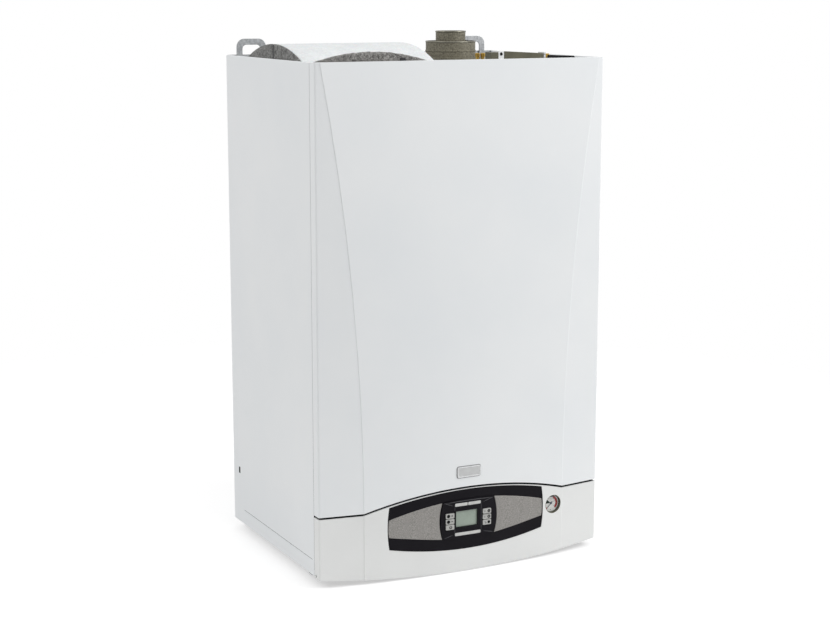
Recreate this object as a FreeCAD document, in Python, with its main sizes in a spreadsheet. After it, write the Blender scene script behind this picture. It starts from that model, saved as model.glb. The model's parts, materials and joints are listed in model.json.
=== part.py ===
import FreeCAD, Part
import math
import os
from types import SimpleNamespace

import Sketcher

# Wall-hung condensing gas boiler with a hot-water tank, in millimetres.
# X runs to the right, Y towards the wall, Z up.
# The origin is on the wall plane, at the middle of the casing's lower rear edge.

SIZES = {
    # casing
    "width": 600,
    "height": 950,
    "side_depth": 440,
    "sheet": 1.5,
    "hem_width": 3.2,
    "hem_height": 12,
    "rear_flange": 16,
    "bottom_flange": 14,
    "bottom_flange_setback": 50,
    "slot_width": 8,
    "slot_height": 13,
    "slot_from_wall": 32,
    "slot_level": 109,
    "groove_height": 3,
    "groove_depth": 0.6,
    "groove_level": 29,
    "groove_front_gap": 8,
    "groove_back_gap": 56,
    "screw_radius": 1.9,
    "screw_head_radius": 4,
    "screw_head_height": 2.4,
    # hanging eyes
    "eye_width": 62,
    "eye_strip": 12,
    "eye_plate": 3,
    "eye_rise": 31,
    "eye_leg": 60,
    "eye_side_gap": 21,
    "eye_outer_radius": 16,
    "eye_inner_radius": 8,
    # front cover
    "bow": 26,
    "crease_forward": 13,
    "crease_inset": 85,
    "crease_inset_top": 9,
    "crease_step": 1.2,
    "crease_step_run": 1.5,
    "corner_radius": 4,
    "top_bow": 0.6,
    "cover_wall": 1.5,
    "cover_return": 21.7,
    "cover_gap": 0.95,
    "cover_top_flange": 13,
    "seam_height": 116,
    "seam_rise": 30,
    "seam_gap": 4.2,
    "badge_width": 50,
    "badge_height": 21,
    "badge_level": 177,
    "badge_relief": 1.6,
    "badge_corner": 4,
    # fascia
    "fascia_wall": 3,
    "fascia_lip": 3.6,
    "fascia_drop": 14,
    "hinge_setback": 14,
    "hinge_level": 2,
    "hinge_pin_radius": 3,
    "ear_radius": 5.4,
    "ear_thickness": 7,
    "bracket_plate": 3,
    "bracket_length": 40,
    "bracket_block": 18,
    "bracket_radius": 5,
    "side_play": 0.6,
    "ledge_level": 10,
    "ledge_thickness": 3,
    # black bezel and silver plates
    "bezel_side_margin": 50.5,
    "bezel_side_bulge": 3.5,
    "bezel_corner_margin": 1.94,
    "bezel_crown_margin": 1,
    "bezel_bottom": 42.5,
    "bezel_bottom_drop": 17,
    "bezel_recess": 1,
    "bezel_wall": 4,
    "bezel_lip": 2.5,
    "bezel_lip_wall": 2.2,
    "plate_outer_proud": 0.5,
    "plate_outer_bulge": 1.5,
    "plate_outer_top": 100,
    "plate_outer_bottom": 66,
    "plate_inner_top": 121,
    "plate_inner_bottom": 48.6,
    "plate_edge_bulge": 2.4,
    "plate_lower_bulge": 0.8,
    "plate_recess": 0.4,
    "plate_thickness": 2,
    "plate_gap": 1.2,
    # control unit
    "unit_half_width": 54.4,
    "unit_side_bulge": 6,
    "unit_top": 121.2,
    "unit_bottom": 48.3,
    "unit_edge_bulge": 2,
    "unit_proud": 1,
    "unit_wall": 2,
    "unit_depth": 20,
    "lcd_width": 46.2,
    "lcd_height": 31.2,
    "lcd_offset": 4.7,
    "lcd_level": 85.7,
    "lcd_border": 2,
    "lcd_thickness": 3,
    "button_width": 17.5,
    "button_height": 9.6,
    "button_pitch": 11.1,
    "button_proud": 1.4,
    "button_rim": 0.5,
    "button_rim_wall": 1,
    "button_travel": 1.2,
    "left_button_x": 41,
    "right_button_x": 38.5,
    "button_level": 83.4,
    "unit_board_wall": 1.5,
    # electronics box behind the fascia
    "control_box_inset": 14.5,
    "control_box_depth": 50,
    "control_box_height": 109,
    "control_box_wall": 2,
    "main_board_wall": 1.6,
    "main_board_margin": 6,
    "post_radius": 3,
    "post_length": 30,
    # pressure gauge
    "gauge_inset": 22.5,
    "gauge_level": 84.4,
    "gauge_window_radius": 18.4,
    "gauge_boss_wall": 3,
    "gauge_seat_forward": 8,
    "gauge_neck": 3,
    "gauge_rim": 1.5,
    "gauge_depth": 24,
    "gauge_floor": 4,
    "dial_wall": 1,
    "dial_setback": 3,
    "lens_wall": 1.5,
    "needle_length": 13,
    "needle_tail": 4,
    "needle_width": 1.5,
    "needle_wall": 0.8,
    "needle_hub_radius": 2.2,
    "needle_shaft_radius": 0.9,
    # tank and insulation
    "insulation_side_gap": 10,
    "insulation_front_gap": 26,
    "insulation_back_gap": 44,
    "insulation_wall": 18,
    "insulation_floor": 20,
    "tank_wall": 1.5,
    "tank_corner": 50,
    "tank_gap": 0.5,
    "tank_top_gap": 70,
    "tank_shelf_wall": 3,
    "tank_shelf_flange": 24,
    "vault_rise": 27,
    "vault_radius": 320,
    "foam_wall": 3,
    "foam_slit": 1.5,
    "felt_wall": 6,
    "felt_drop": 78,
    "felt_rise": 18,
    "felt_radius": 380,
    "coil_radius": 10,
    "coil_wall": 1.2,
    "coil_top_gap": 80,
    "coil_lift": 90,
    # sealed chamber
    "chamber_top_gap": 10,
    "chamber_left_gap": 12,
    "chamber_right_gap": 12,
    "chamber_back_gap": 20,
    "chamber_front_gap": 40,
    "chamber_wall": 1.2,
    "chamber_rail_height": 20,
    "sight_hole_radius": 12,
    "hatch_width": 88,
    "hatch_depth": 22,
    "hatch_rise": 11,
    "hatch_fall": 5,
    "hatch_wing_width": 17,
    "hatch_wing_rise": 9,
    "hatch_corner": 2.75,
    "hatch_from_door": 48,
    "clip_width": 4,
    "clip_rise": 8,
    "clip_hole_radius": 1.45,
    "latch_width": 12,
    "latch_rise": 11.5,
    "latch_hole_radius": 3.3,
    "latch_hole_depth": 8,
    "plug_radius": 4.8,
    "plug_neck_radius": 3.4,
    "plug_bevel": 1.2,
    "plug_height": 15,
    "plug_pitch": 12,
    "plug_from_flue": 125,
    # flue
    "flue_radius": 30,
    "flue_wall": 2,
    "flue_rise": 45.5,
    "flue_spigot": 40,
    "flue_spigot_step": 0.5,
    "air_radius": 50,
    "air_wall": 1.5,
    "air_rise": 25.5,
    "air_bead": 1,
    "air_bead_height": 3,
    "air_bead_level": 4,
    "flue_flange": 14,
    "flue_flange_wall": 4,
    # heat exchanger and burner
    "exchanger_radius": 95,
    "exchanger_level": 200,
    "exchanger_cavity_radius": 60,
    "exchanger_back_wall": 30,
    "exchanger_rib": 4,
    "exchanger_rib_width": 8,
    "exchanger_boss_radius": 14,
    "exchanger_boss_drop": 100,
    "exchanger_neck_radius": 34,
    "gas_way_radius": 27,
    "burner_door_radius": 88,
    "burner_door_wall": 12,
    "burner_radius": 33,
    "burner_wall": 2,
    "mixing_radius": 20,
    "mixing_wall": 2,
    "mixing_bend": 30,
    # fan
    "fan_level": 70,
    "fan_radius": 62,
    "fan_wall": 2,
    "fan_outlet_rise": 80,
    "fan_inlet_radius": 20,
    "fan_inlet_wall": 8,
    "fan_inlet_depth": 22,
    "fan_motor_radius": 36,
    "fan_motor_bevel": 4,
    "fan_shaft_radius": 4,
    "fan_shaft_depth": 18,
    "fan_shaft_hole_radius": 8,
    "fan_wheel_radius": 50,
    "fan_wheel_play": 3,
    "fan_blade": 14,
    "fan_blade_wall": 1.2,
    "fan_disc": 2,
    # gas valve and pipes
    "gas_valve_width": 60,
    "gas_valve_height": 100,
    "solenoid_radius": 16,
    "solenoid_length": 40,
    "gas_stub_drop": 36,
    "gas_radius": 8,
    "pipe_wall": 1,
    "pipe_bend": 20,
    "water_radius": 8,
    "heating_radius": 9,
    # expansion vessel
    "vessel_radius": 112,
    "vessel_dome": 56,
    "vessel_shoulder": 14,
    "vessel_rim": 33.6,
    "vessel_boss": 30,
    # hydraulics below
    "union_nut_radius": 17,
    "union_nut_height": 18,
    "heating_thread_radius": 13.2,
    "water_thread_radius": 10.5,
    "union_bore_radius": 7,
    "rail_height": 16,
    "rail_depth": 44,
    "block_depth": 60,
    "block_height": 90,
    "pump_radius": 38,
    "pump_depth": 45,
    "pump_cavity_radius": 30,
    "pump_cavity_depth": 25,
    "pump_rise": 45,
    "pump_motor_radius": 34,
    "pump_motor_length": 40,
    "pump_motor_bevel": 6,
    "pump_shaft_radius": 4,
    "pump_shaft_depth": 20,
    "impeller_radius": 27,
    "impeller_disc": 3,
    "impeller_vane": 9,
    "impeller_vane_wall": 2,
    "impeller_play": 4,
    "spool_radius": 8,
    "spool_length": 40,
    "spool_travel": 8,
    "spool_stem_radius": 3,
    "spool_stem_length": 40,
    "spool_bore_depth": 66,
    "spool_rise": 70,
    "actuator_depth": 44,
    "actuator_height": 46,
    "actuator_corner": 5.5,
    "knob_radius": 16,
    "knob_height": 16,
    "knob_spigot_radius": 5,
    "knob_spigot_length": 9,
    "knob_play": 0.4,
    "knob_rib": 2,
    "safety_body_radius": 14,
    "safety_body_height": 30,
    "safety_inset": 22,
    "tap_body_radius": 10,
    "tap_body_height": 20,
    "tap_inset": 34,
    "coil_feed_rise": 20,
    "coil_return_rise": 70,
    "boiler_pipe_rise": 50,
    "flow_rise": 30,
    "return_rise": 50,
    "trap_radius": 25,
    "trap_wall": 2,
    "trap_neck_radius": 20,
    "trap_taper": 8,
    # clearances
    "running_clearance": 0.05,
    "slip_clearance": 0.4,
    "trim_clearance": 0.3,
    "seat_gap": 0.15,
    "overrun": 20,
}

# places and sizes inside that follow the casing's width, as shares of it
WIDTH_SHARES = {
    "tank_width": 231 / 600,
    "coil_pitch": 50 / 600,
    "felt_width": 225 / 600,
    "felt_offset": 22 / 600,
    "latch_left": 120 / 600,
    "flue_x": 130 / 600,
    "fan_offset": 42 / 600,
    "boiler_pipe_spread": 30 / 600,
    "union_pitch": 70 / 600,
    "block_left": 80 / 600,
    "block_width": 140 / 600,
    "flow_start": 36 / 600,
    "pump_x": 150 / 600,
    "actuator_width": 48 / 600,
    "trap_x": 40 / 600,
    "drain_shift": 40 / 600,
    "chamber_rail_width": 90 / 600,
}
# places and sizes inside that follow the casing's depth, as shares of it
DEPTH_SHARES = {
    "flue_from_wall": 135 / 440,
    "exchanger_length": 170 / 440,
    "burner_length": 110 / 440,
    "fan_from_burner": 42 / 440,
    "fan_depth": 50 / 440,
    "fan_outlet": 44 / 440,
    "fan_motor_length": 35 / 440,
    "gas_from_wall": 233 / 440,
    "vessel_depth": 105 / 440,
    "vessel_boss_length": 23.5 / 440,
    "union_from_wall": 110 / 440,
    "block_from_wall": 200 / 440,
    "boiler_pipe_from_wall": 165 / 440,
    "flow_run_from_wall": 155 / 440,
    "tank_pipe_from_wall": 180 / 440,
    "trap_from_wall": 185 / 440,
}
# places and sizes inside that follow the casing's height, as shares of it
HEIGHT_SHARES = {
    "chamber_floor": 500 / 950,
    "tank_shelf_level": 167 / 950,
    "gas_valve_level": 300 / 950,
    "vessel_level": 318 / 950,
    "rail_level": 30 / 950,
    "block_level": 40 / 950,
    "hot_level": 95 / 950,
    "cold_level": 130 / 950,
    "gas_low_level": 165 / 950,
    "gas_high_level": 240 / 950,
    "trap_level": 185 / 950,
    "trap_height": 85 / 950,
    "drain_level": 540 / 950,
}
SCREW_HEIGHT_SHARES = (0.08, 0.5, 0.92)
COIL_PITCH_SHARES = (-1.5, -0.5, 0.5, 1.5)
UNION_PITCH_SHARES = (-2, -1, 0, 1, 2)
BUTTON_PITCH_SHARES = {"top": 1, "middle": 0, "bottom": -1}
RIB_SHARES = (0.25, 0.5, 0.75)
SOLENOID_SHARES = (0.25, 0.75)
COVER_SECTIONS = 9
FAN_BLADES = 20
IMPELLER_VANES = 6
KNOB_RIBS = 8
NUT_SIDES = 6
# degrees clockwise from the top, as seen from the front
NEEDLE_REST_ANGLE = 222
# degrees off its line that an edge may lie and still be rounded
EDGE_LEAN = 1

doc = FreeCAD.newDocument("gas_boiler")
sheet = doc.addObject("Spreadsheet::Sheet", "Sizes")
for row, (alias, number) in enumerate(SIZES.items(), 1):
    sheet.set("A%d" % row, alias)
    sheet.set("B%d" % row, str(number))
    sheet.setAlias("B%d" % row, alias)
doc.recompute()


class Size:
    """A length that keeps its value and the sheet formula that gives it."""

    def __init__(self, value, formula):
        self.value = value
        self.formula = formula

    def __add__(self, other):
        other = as_size(other)
        return Size(self.value + other.value, "(%s + %s)" % (self.formula, other.formula))

    def __sub__(self, other):
        other = as_size(other)
        return Size(self.value - other.value, "(%s - %s)" % (self.formula, other.formula))

    def __mul__(self, other):
        other = as_size(other)
        return Size(self.value * other.value, "(%s * %s)" % (self.formula, other.formula))

    def __truediv__(self, other):
        other = as_size(other)
        return Size(self.value / other.value, "(%s / %s)" % (self.formula, other.formula))

    def __neg__(self):
        return Size(-self.value, "(0 - %s)" % self.formula)

    def __float__(self):
        return self.value


def as_size(number):
    if isinstance(number, Size):
        return number
    return Size(float(number), "%r" % float(number))


size = SimpleNamespace(**{alias: Size(float(sheet.get(alias)), "Sizes." + alias) for alias in SIZES})
across = SimpleNamespace(**{name: size.width * share for name, share in WIDTH_SHARES.items()})
inward = SimpleNamespace(**{name: size.side_depth * share for name, share in DEPTH_SHARES.items()})
upward = SimpleNamespace(**{name: size.height * share for name, share in HEIGHT_SHARES.items()})
nodes = []

# Turns that lay a shape's own Z axis along X, Y or Z.
TURNS = {
    "X": FreeCAD.Rotation(FreeCAD.Vector(0, 1, 0), 90),
    "Y": FreeCAD.Rotation(FreeCAD.Vector(1, 0, 0), -90),
    "Z": FreeCAD.Rotation(),
}


def vector(x, y, z):
    return FreeCAD.Vector(float(x), float(y), float(z))


def bind(thing, **amounts):
    for name, amount in amounts.items():
        thing.setExpression(name, as_size(amount).formula)


def place(thing, x, y, z, rotation=TURNS["Z"]):
    thing.Placement = FreeCAD.Placement(vector(x, y, z), rotation)
    for letter, amount in zip("xyz", (x, y, z)):
        thing.setExpression("Placement.Base." + letter, as_size(amount).formula)
    return thing


def box(x, y, z, length, width, height):
    thing = doc.addObject("Part::Box", "Block")
    bind(thing, Length=length, Width=width, Height=height)
    return place(thing, x, y, z)


def rod(axis, radius, length, x, y, z):
    thing = doc.addObject("Part::Cylinder", "Rod")
    bind(thing, Radius=radius, Height=length)
    return place(thing, x, y, z, TURNS[axis])


def fuse(*things):
    thing = doc.addObject("Part::MultiFuse", "Fuse")
    thing.Shapes = list(things)
    return thing


def cut(base, *tools):
    for tool in tools:
        thing = doc.addObject("Part::Cut", "Cut")
        thing.Base = base
        thing.Tool = tool
        base = thing
    return base


def common(*things):
    thing = doc.addObject("Part::MultiCommon", "Common")
    thing.Shapes = list(things)
    return thing


def group(*things):
    thing = doc.addObject("Part::Compound", "Group")
    thing.Links = list(things)
    return thing


def feature(shape):
    thing = doc.addObject("Part::Feature", "Form")
    thing.Shape = shape
    return thing


def rounded(base, radius, direction, keep):
    """Round the straight edges that run along a direction and lie where keep says."""
    doc.recompute()
    chosen = []
    for number, edge in enumerate(base.Shape.Edges, 1):
        along = abs(edge.tangentAt(edge.FirstParameter).dot(direction))
        if along > math.cos(math.radians(EDGE_LEAN)) and keep(edge.CenterOfMass):
            chosen.append((number, float(radius), float(radius)))
    thing = doc.addObject("Part::Fillet", "Rounded")
    thing.Base = base
    thing.Edges = chosen
    return thing


def revolved(points, axis, x, y, z):
    """Body turned from an outline of (radius, height) points about its own Z axis."""
    body = doc.addObject("PartDesign::Body", "Turned")
    sketch = body.newObject("Sketcher::SketchObject", "Profile")
    plane = [part for part in body.Origin.OriginFeatures if part.Role == "XZ_Plane"][0]
    sketch.AttachmentSupport = [(plane, "")]
    sketch.MapMode = "FlatFace"
    points = [(as_size(radius), as_size(height)) for radius, height in points]
    corners = [vector(radius, height, 0) for radius, height in points]
    for start, end in zip(corners, corners[1:] + corners[:1]):
        sketch.addGeometry(Part.LineSegment(start, end), False)
    for number in range(len(points)):
        after = (number + 1) % len(points)
        sketch.addConstraint(Sketcher.Constraint("Coincident", number, 2, after, 1))
    for number, (radius, height) in enumerate(points):
        pin_corner(sketch, number, "DistanceX", radius, -2)
        pin_corner(sketch, number, "DistanceY", height, -1)
    turn = body.newObject("PartDesign::Revolution", "Turn")
    turn.Profile = sketch
    turn.ReferenceAxis = (sketch, ["V_Axis"])
    turn.Angle = 360
    return place(body, x, y, z, TURNS[axis])


def pin_corner(sketch, number, kind, amount, axis):
    """Hold one sketch corner at a bound distance from the origin, or on the axis itself."""
    if amount.value == 0:
        sketch.addConstraint(Sketcher.Constraint("PointOnObject", number, 1, axis))
        return
    index = sketch.addConstraint(Sketcher.Constraint(kind, -1, 1, number, 1, amount.value))
    sketch.setExpression("Constraints[%d]" % index, amount.formula)


def pipe(radius, wall, bend, points):
    """Hollow pipe along straight runs joined by tangent arcs."""
    corners = [vector(*point) for point in points]
    edges = []
    start = corners[0]
    for before, corner, after in zip(corners, corners[1:], corners[2:]):
        back = (before - corner).normalize()
        ahead = (after - corner).normalize()
        half_turn = back.getAngle(ahead) / 2
        reach = float(bend) / math.tan(half_turn)
        middle = corner + (back + ahead).normalize() * (float(bend) / math.sin(half_turn) - float(bend))
        entry = corner + back * reach
        leaving = corner + ahead * reach
        edges.append(Part.LineSegment(start, entry).toShape())
        edges.append(Part.Arc(entry, middle, leaving).toShape())
        start = leaving
    edges.append(Part.LineSegment(start, corners[-1]).toShape())
    heading = corners[1] - corners[0]
    rims = [
        Part.Wire(Part.Circle(corners[0], heading, rim).toShape())
        for rim in (float(radius), float(radius) - float(wall))
    ]
    ring = Part.Face(rims, "Part::FaceMakerBullseye")
    return feature(Part.Wire(edges).makePipe(ring))


def node(label, thing):
    thing.Label = label
    nodes.append(thing)
    return thing


# Planes and places that several pieces share
half_width = size.width / 2
inner_x = half_width - size.sheet
front_y = -size.side_depth
return_y = front_y + size.cover_return
panel_front_y = return_y + size.cover_gap
back_face_y = -size.sheet
hinge_y = front_y + size.hinge_setback
facet_slope = size.crease_forward / size.crease_inset
crease_x = half_width - size.crease_inset
panel_edge_x = crease_x - size.crease_step_run
panel_sagitta = size.bow - size.crease_forward - size.crease_step
centre_y = front_y - size.bow
# radius and axis of the upright cylinder that the fascia's middle follows
panel_radius = (panel_edge_x * panel_edge_x + panel_sagitta * panel_sagitta) / (panel_sagitta * 2)
panel_axis_y = centre_y + panel_radius
bezel_half_width = crease_x - size.bezel_side_margin
# the bezel's upper edge keeps under the arched seam, at its corners and at its crown
seam_edge = size.seam_height - size.seam_gap / 2
bezel_reach = bezel_half_width / crease_x
bezel_top = seam_edge + size.seam_rise * (as_size(1) - bezel_reach * bezel_reach) - size.bezel_corner_margin
bezel_top_rise = seam_edge + size.seam_rise - size.bezel_crown_margin - bezel_top
control_box_width = (bezel_half_width - size.control_box_inset) * 2
gauge_x = crease_x - size.gauge_inset
shell_front_y = centre_y - size.unit_proud
unit_back_y = shell_front_y + size.unit_depth


# Carcass

def screw_places(sign):
    x = (inner_x - size.rear_flange / 2) * sign
    return [(x, size.height * share) for share in SCREW_HEIGHT_SHARES]


def screw_holes():
    radius = size.screw_radius + size.trim_clearance
    length = size.sheet * 2 + size.overrun
    places = screw_places(-1) + screw_places(1)
    return [rod("Y", radius, length, x, -length + size.overrun / 2, z) for x, z in places]


def back_panel():
    plate = box(-inner_x, back_face_y, 0, inner_x * 2, size.sheet, size.height)
    return cut(plate, *screw_holes())


def panel_screws():
    screws = []
    length = size.sheet * 2 - size.trim_clearance
    for x, z in screw_places(-1) + screw_places(1):
        shank = rod("Y", size.screw_radius, length, x, back_face_y - size.sheet, z)
        head_y = back_face_y - size.sheet - size.screw_head_height
        head = rod("Y", size.screw_head_radius, size.screw_head_height, x, head_y, z)
        screws.append(fuse(head, shank))
    return group(*screws)


def span(sign, low, high):
    """Lowest x of a stretch from low to high, on the right or mirrored on the left."""
    return low if sign > 0 else -high


def side_panel(sign):
    length = -panel_front_y
    hem_x = span(sign, half_width - size.hem_width, half_width)
    rim_radius = size.hem_width / 2
    rim_z = size.height - rim_radius
    wall = box(span(sign, inner_x, half_width), panel_front_y, 0, size.sheet, length, rim_z)
    hem_z = size.height - size.hem_height
    hem = box(hem_x, panel_front_y, hem_z, size.hem_width, length - size.sheet, rim_z - hem_z)
    rim_x = (half_width - rim_radius) * sign
    rim = rod("Y", rim_radius, length - size.sheet, rim_x, panel_front_y, rim_z)
    front_hem = box(hem_x, panel_front_y, 0, size.hem_width, size.hem_height, hem_z + size.hem_height / 2)
    flange_x = span(sign, inner_x - size.rear_flange, half_width)
    flange = box(flange_x, back_face_y - size.sheet, 0, size.rear_flange + size.sheet, size.sheet, hem_z)
    foot_y = panel_front_y + size.bottom_flange_setback
    foot_x = span(sign, inner_x - size.bottom_flange, half_width)
    foot = box(foot_x, foot_y, 0, size.bottom_flange + size.sheet, -foot_y - size.sheet * 2, size.sheet)
    groove_y = panel_front_y + size.groove_front_gap
    groove_x = span(sign, half_width - size.groove_depth, half_width + size.overrun)
    groove = box(groove_x, groove_y, size.groove_level - size.groove_height / 2,
                 size.groove_depth + size.overrun, length - size.groove_front_gap - size.groove_back_gap,
                 size.groove_height)
    slot = box(span(sign, inner_x - size.overrun, half_width + size.overrun),
               -size.slot_from_wall - size.slot_width / 2, size.slot_level - size.slot_height / 2,
               size.sheet + size.overrun * 2, size.slot_width, size.slot_height)
    return cut(fuse(wall, hem, rim, front_hem, flange, foot), groove, slot, *screw_holes())


def hanging_eye(centre_x):
    left = centre_x - size.eye_width / 2
    top = size.height + size.eye_rise
    y = back_face_y - size.eye_plate
    across = FreeCAD.Vector(0, 1, 0)
    plate = box(left, y, top - size.eye_leg - size.eye_rise, size.eye_width, size.eye_plate,
                size.eye_leg + size.eye_rise)
    middle = float(size.height)
    plate = rounded(plate, size.eye_outer_radius, across, lambda point: point.z > middle)
    gap_height = size.eye_leg + size.eye_rise - size.eye_strip + size.overrun
    gap = box(left + size.eye_strip, y - size.overrun, top - size.eye_strip - gap_height,
              size.eye_width - size.eye_strip * 2, size.eye_plate + size.overrun * 2, gap_height)
    gap = rounded(gap, size.eye_inner_radius, across, lambda point: point.z > middle)
    return cut(plate, gap)


def hanging_eyes():
    centre_x = half_width - size.eye_side_gap - size.eye_width / 2
    return group(hanging_eye(-centre_x), hanging_eye(centre_x))


def hinge_bracket(sign):
    """Plate on the side panel that carries the fascia's hinge pin."""
    outer_x = half_width - size.fascia_wall - size.side_play
    inner = outer_x - size.bracket_plate
    seat_y = hinge_y + size.bracket_length - size.bracket_block
    plate_x = span(sign, inner, outer_x)
    low = size.hinge_level - size.bracket_radius
    tall = size.bracket_radius * 2
    nose = rod("X", size.bracket_radius, size.bracket_plate, plate_x, hinge_y, size.hinge_level)
    plate = box(plate_x, hinge_y, low, size.bracket_plate, size.bracket_length, tall)
    seat = box(span(sign, inner, inner_x), seat_y, low, inner_x - inner, size.bracket_block, tall)
    pin_length = size.ear_thickness + size.side_play * 2 + size.bracket_plate
    pin = rod("X", size.hinge_pin_radius, pin_length, span(sign, outer_x - pin_length, outer_x),
              hinge_y, size.hinge_level)
    return fuse(nose, plate, seat, pin)


# Front cover and fascia: one outline family, bowed in the middle, with a facet at each side

def front_outline(z, inset, sagitta, wall, back_y):
    """Closed outline of the front at one height, moved in by a wall."""
    half = float(half_width - wall)
    slope = float(facet_slope)
    lean = math.atan(slope)
    radius = float(size.corner_radius - wall)
    corner_y = float(front_y + wall) - slope * float(wall)
    turn = math.pi / 2 - lean
    reach = radius * math.tan(turn / 2)
    crease = float(half_width) - inset
    crease_y = float(front_y + wall) - slope * inset
    edge = crease - float(size.crease_step_run)
    edge_y = crease_y - float(size.crease_step)
    arc_start = (half, corner_y + reach)
    arc_middle = (half - radius + radius * math.cos(turn / 2), corner_y + reach - radius * math.sin(turn / 2))
    arc_end = (half - reach * math.cos(lean), corner_y - reach * math.sin(lean))

    def at(point, side):
        return FreeCAD.Vector(point[0] * side, point[1], z)

    rear = (half, float(back_y))
    chain = [
        Part.LineSegment(at(rear, 1), at(arc_start, 1)),
        Part.Arc(at(arc_start, 1), at(arc_middle, 1), at(arc_end, 1)),
        Part.LineSegment(at(arc_end, 1), at((crease, crease_y), 1)),
        Part.LineSegment(at((crease, crease_y), 1), at((edge, edge_y), 1)),
        Part.Arc(at((edge, edge_y), 1), at((0, edge_y - sagitta), 1), at((edge, edge_y), -1)),
        Part.LineSegment(at((edge, edge_y), -1), at((crease, crease_y), -1)),
        Part.LineSegment(at((crease, crease_y), -1), at(arc_end, -1)),
        Part.Arc(at(arc_end, -1), at(arc_middle, -1), at(arc_start, -1)),
        Part.LineSegment(at(arc_start, -1), at(rear, -1)),
        Part.LineSegment(at(rear, -1), at(rear, 1)),
    ]
    return Part.Wire([part.toShape() for part in chain])


def cover_form(wall, top, back_y):
    """Solid under the front cover's surface: the crease runs in and the bow grows downwards."""
    low = float(size.seam_height)
    full = float(size.height) - low
    wires = []
    for number in range(COVER_SECTIONS):
        z = low + (float(top) - low) * number / (COVER_SECTIONS - 1)
        share = (z - low) / full
        inset = float(size.crease_inset) - float(size.crease_inset - size.crease_inset_top) * share * share
        sagitta = float(panel_sagitta) + float(size.top_bow - panel_sagitta) * share
        wires.append(front_outline(z, inset, sagitta, wall, back_y))
    return Part.makeLoft(wires, True, True)


def seam_block(level, far):
    """Everything between the arched seam at a level and a far height, right through the front."""
    reach = float(half_width + size.overrun)
    crease = float(crease_x)
    y = float(centre_y - size.overrun)
    level = float(level)
    far = float(far)

    def at(x, z):
        return FreeCAD.Vector(x, y, z)

    arc = Part.Arc(at(crease, level), at(0, level + float(size.seam_rise)), at(-crease, level)).toShape()
    straight = Part.makePolygon([
        at(-crease, level), at(-reach, level), at(-reach, far),
        at(reach, far), at(reach, level), at(crease, level)])
    face = Part.Face(Part.Wire([arc] + straight.Edges))
    return face.extrude(FreeCAD.Vector(0, -y, 0))


def front_cover():
    outer = cover_form(as_size(0), size.height, return_y)
    inner = cover_form(size.cover_wall, size.height - size.cover_wall, return_y + size.overrun)
    opening_y = front_y + size.cover_top_flange
    opening_x = half_width - size.hem_width
    opening = Part.makeBox(float(opening_x * 2), float(-opening_y), float(size.overrun * 2),
                           vector(-opening_x, opening_y, size.height - size.overrun))
    below = seam_block(size.seam_height + size.seam_gap / 2, 0)
    return feature(outer.cut([inner, opening, below]))


def badge():
    """Bare raised plate on the middle of the front cover."""
    across = FreeCAD.Vector(0, 1, 0)
    blank = box(-size.badge_width / 2, centre_y - size.badge_relief, size.badge_level - size.badge_height / 2,
                size.badge_width, size.bow, size.badge_height)
    blank = rounded(blank, size.badge_corner, across, lambda point: True)
    doc.recompute()
    form = cover_form(as_size(0), size.height, return_y)
    proud = form.copy()
    proud.translate(vector(0, -size.badge_relief, 0))
    return feature(blank.Shape.common(proud).cut(form))


def four_arc_face(corners, middles, y):
    """Face bounded by four arcs through corners in turn and a middle point for each side."""
    arcs = []
    for number, corner in enumerate(corners):
        after = corners[(number + 1) % len(corners)]
        points = [vector(x, y, z) for x, z in (corner, middles[number], after)]
        arcs.append(Part.Arc(*points).toShape())
    return Part.Face(Part.Wire(arcs))


def panel_prism(corners, middles):
    """Outline carried back from in front of the fascia to its corner line."""
    face = four_arc_face(corners, middles, centre_y - size.overrun)
    return feature(face.extrude(vector(0, size.bow + size.overrun, 0)))


def barrel_prism(half, bulge, top, rise, bottom, drop, grow):
    """Outline with four bulging sides, even about the middle, grown by a margin."""
    x = half + grow
    high = top + grow
    low = bottom - grow
    corners = [(x, high), (-x, high), (-x, low), (x, low)]
    middle = (top + bottom) / 2
    middles = [(0, high + rise), (-x - bulge, middle), (0, low - drop), (x + bulge, middle)]
    return panel_prism(corners, middles)


def bezel_prism(grow):
    return barrel_prism(bezel_half_width, size.bezel_side_bulge, bezel_top, bezel_top_rise,
                        size.bezel_bottom, size.bezel_bottom_drop, grow)


def unit_prism(grow):
    return barrel_prism(size.unit_half_width, size.unit_side_bulge, size.unit_top, size.unit_edge_bulge,
                        size.unit_bottom, size.unit_edge_bulge, grow)


def plate_prism(sign, grow):
    """Silver plate outline: tapers outwards, hollow beside the control unit."""
    out = bezel_half_width + size.plate_outer_proud + grow
    inside = size.unit_half_width + size.plate_gap - grow
    top = size.plate_outer_top + grow
    bottom = size.plate_outer_bottom - grow
    high = size.plate_inner_top + grow
    low = size.plate_inner_bottom - grow
    corners = [(out, top), (inside, high), (inside, low), (out, bottom)]
    middles = [
        ((out + inside) / 2, (top + high) / 2 + size.plate_edge_bulge),
        (inside + size.unit_side_bulge, (high + low) / 2),
        ((out + inside) / 2, (bottom + low) / 2 - size.plate_lower_bulge),
        (out + size.plate_outer_bulge, (top + bottom) / 2),
    ]
    return panel_prism([(x * sign, z) for x, z in corners], [(x * sign, z) for x, z in middles])


def panel_drum(offset):
    """Upright cylinder that follows the fascia's middle, moved out by an offset."""
    low = -size.fascia_drop - size.fascia_lip - size.overrun
    tall = size.seam_height + size.seam_rise - low
    return rod("Z", panel_radius + offset, tall, 0, panel_axis_y, low)


def panel_layer(prism, outer, inner):
    """Part of an outline between two offsets from the fascia's surface."""
    return cut(common(prism, panel_drum(outer)), panel_drum(inner))


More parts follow.
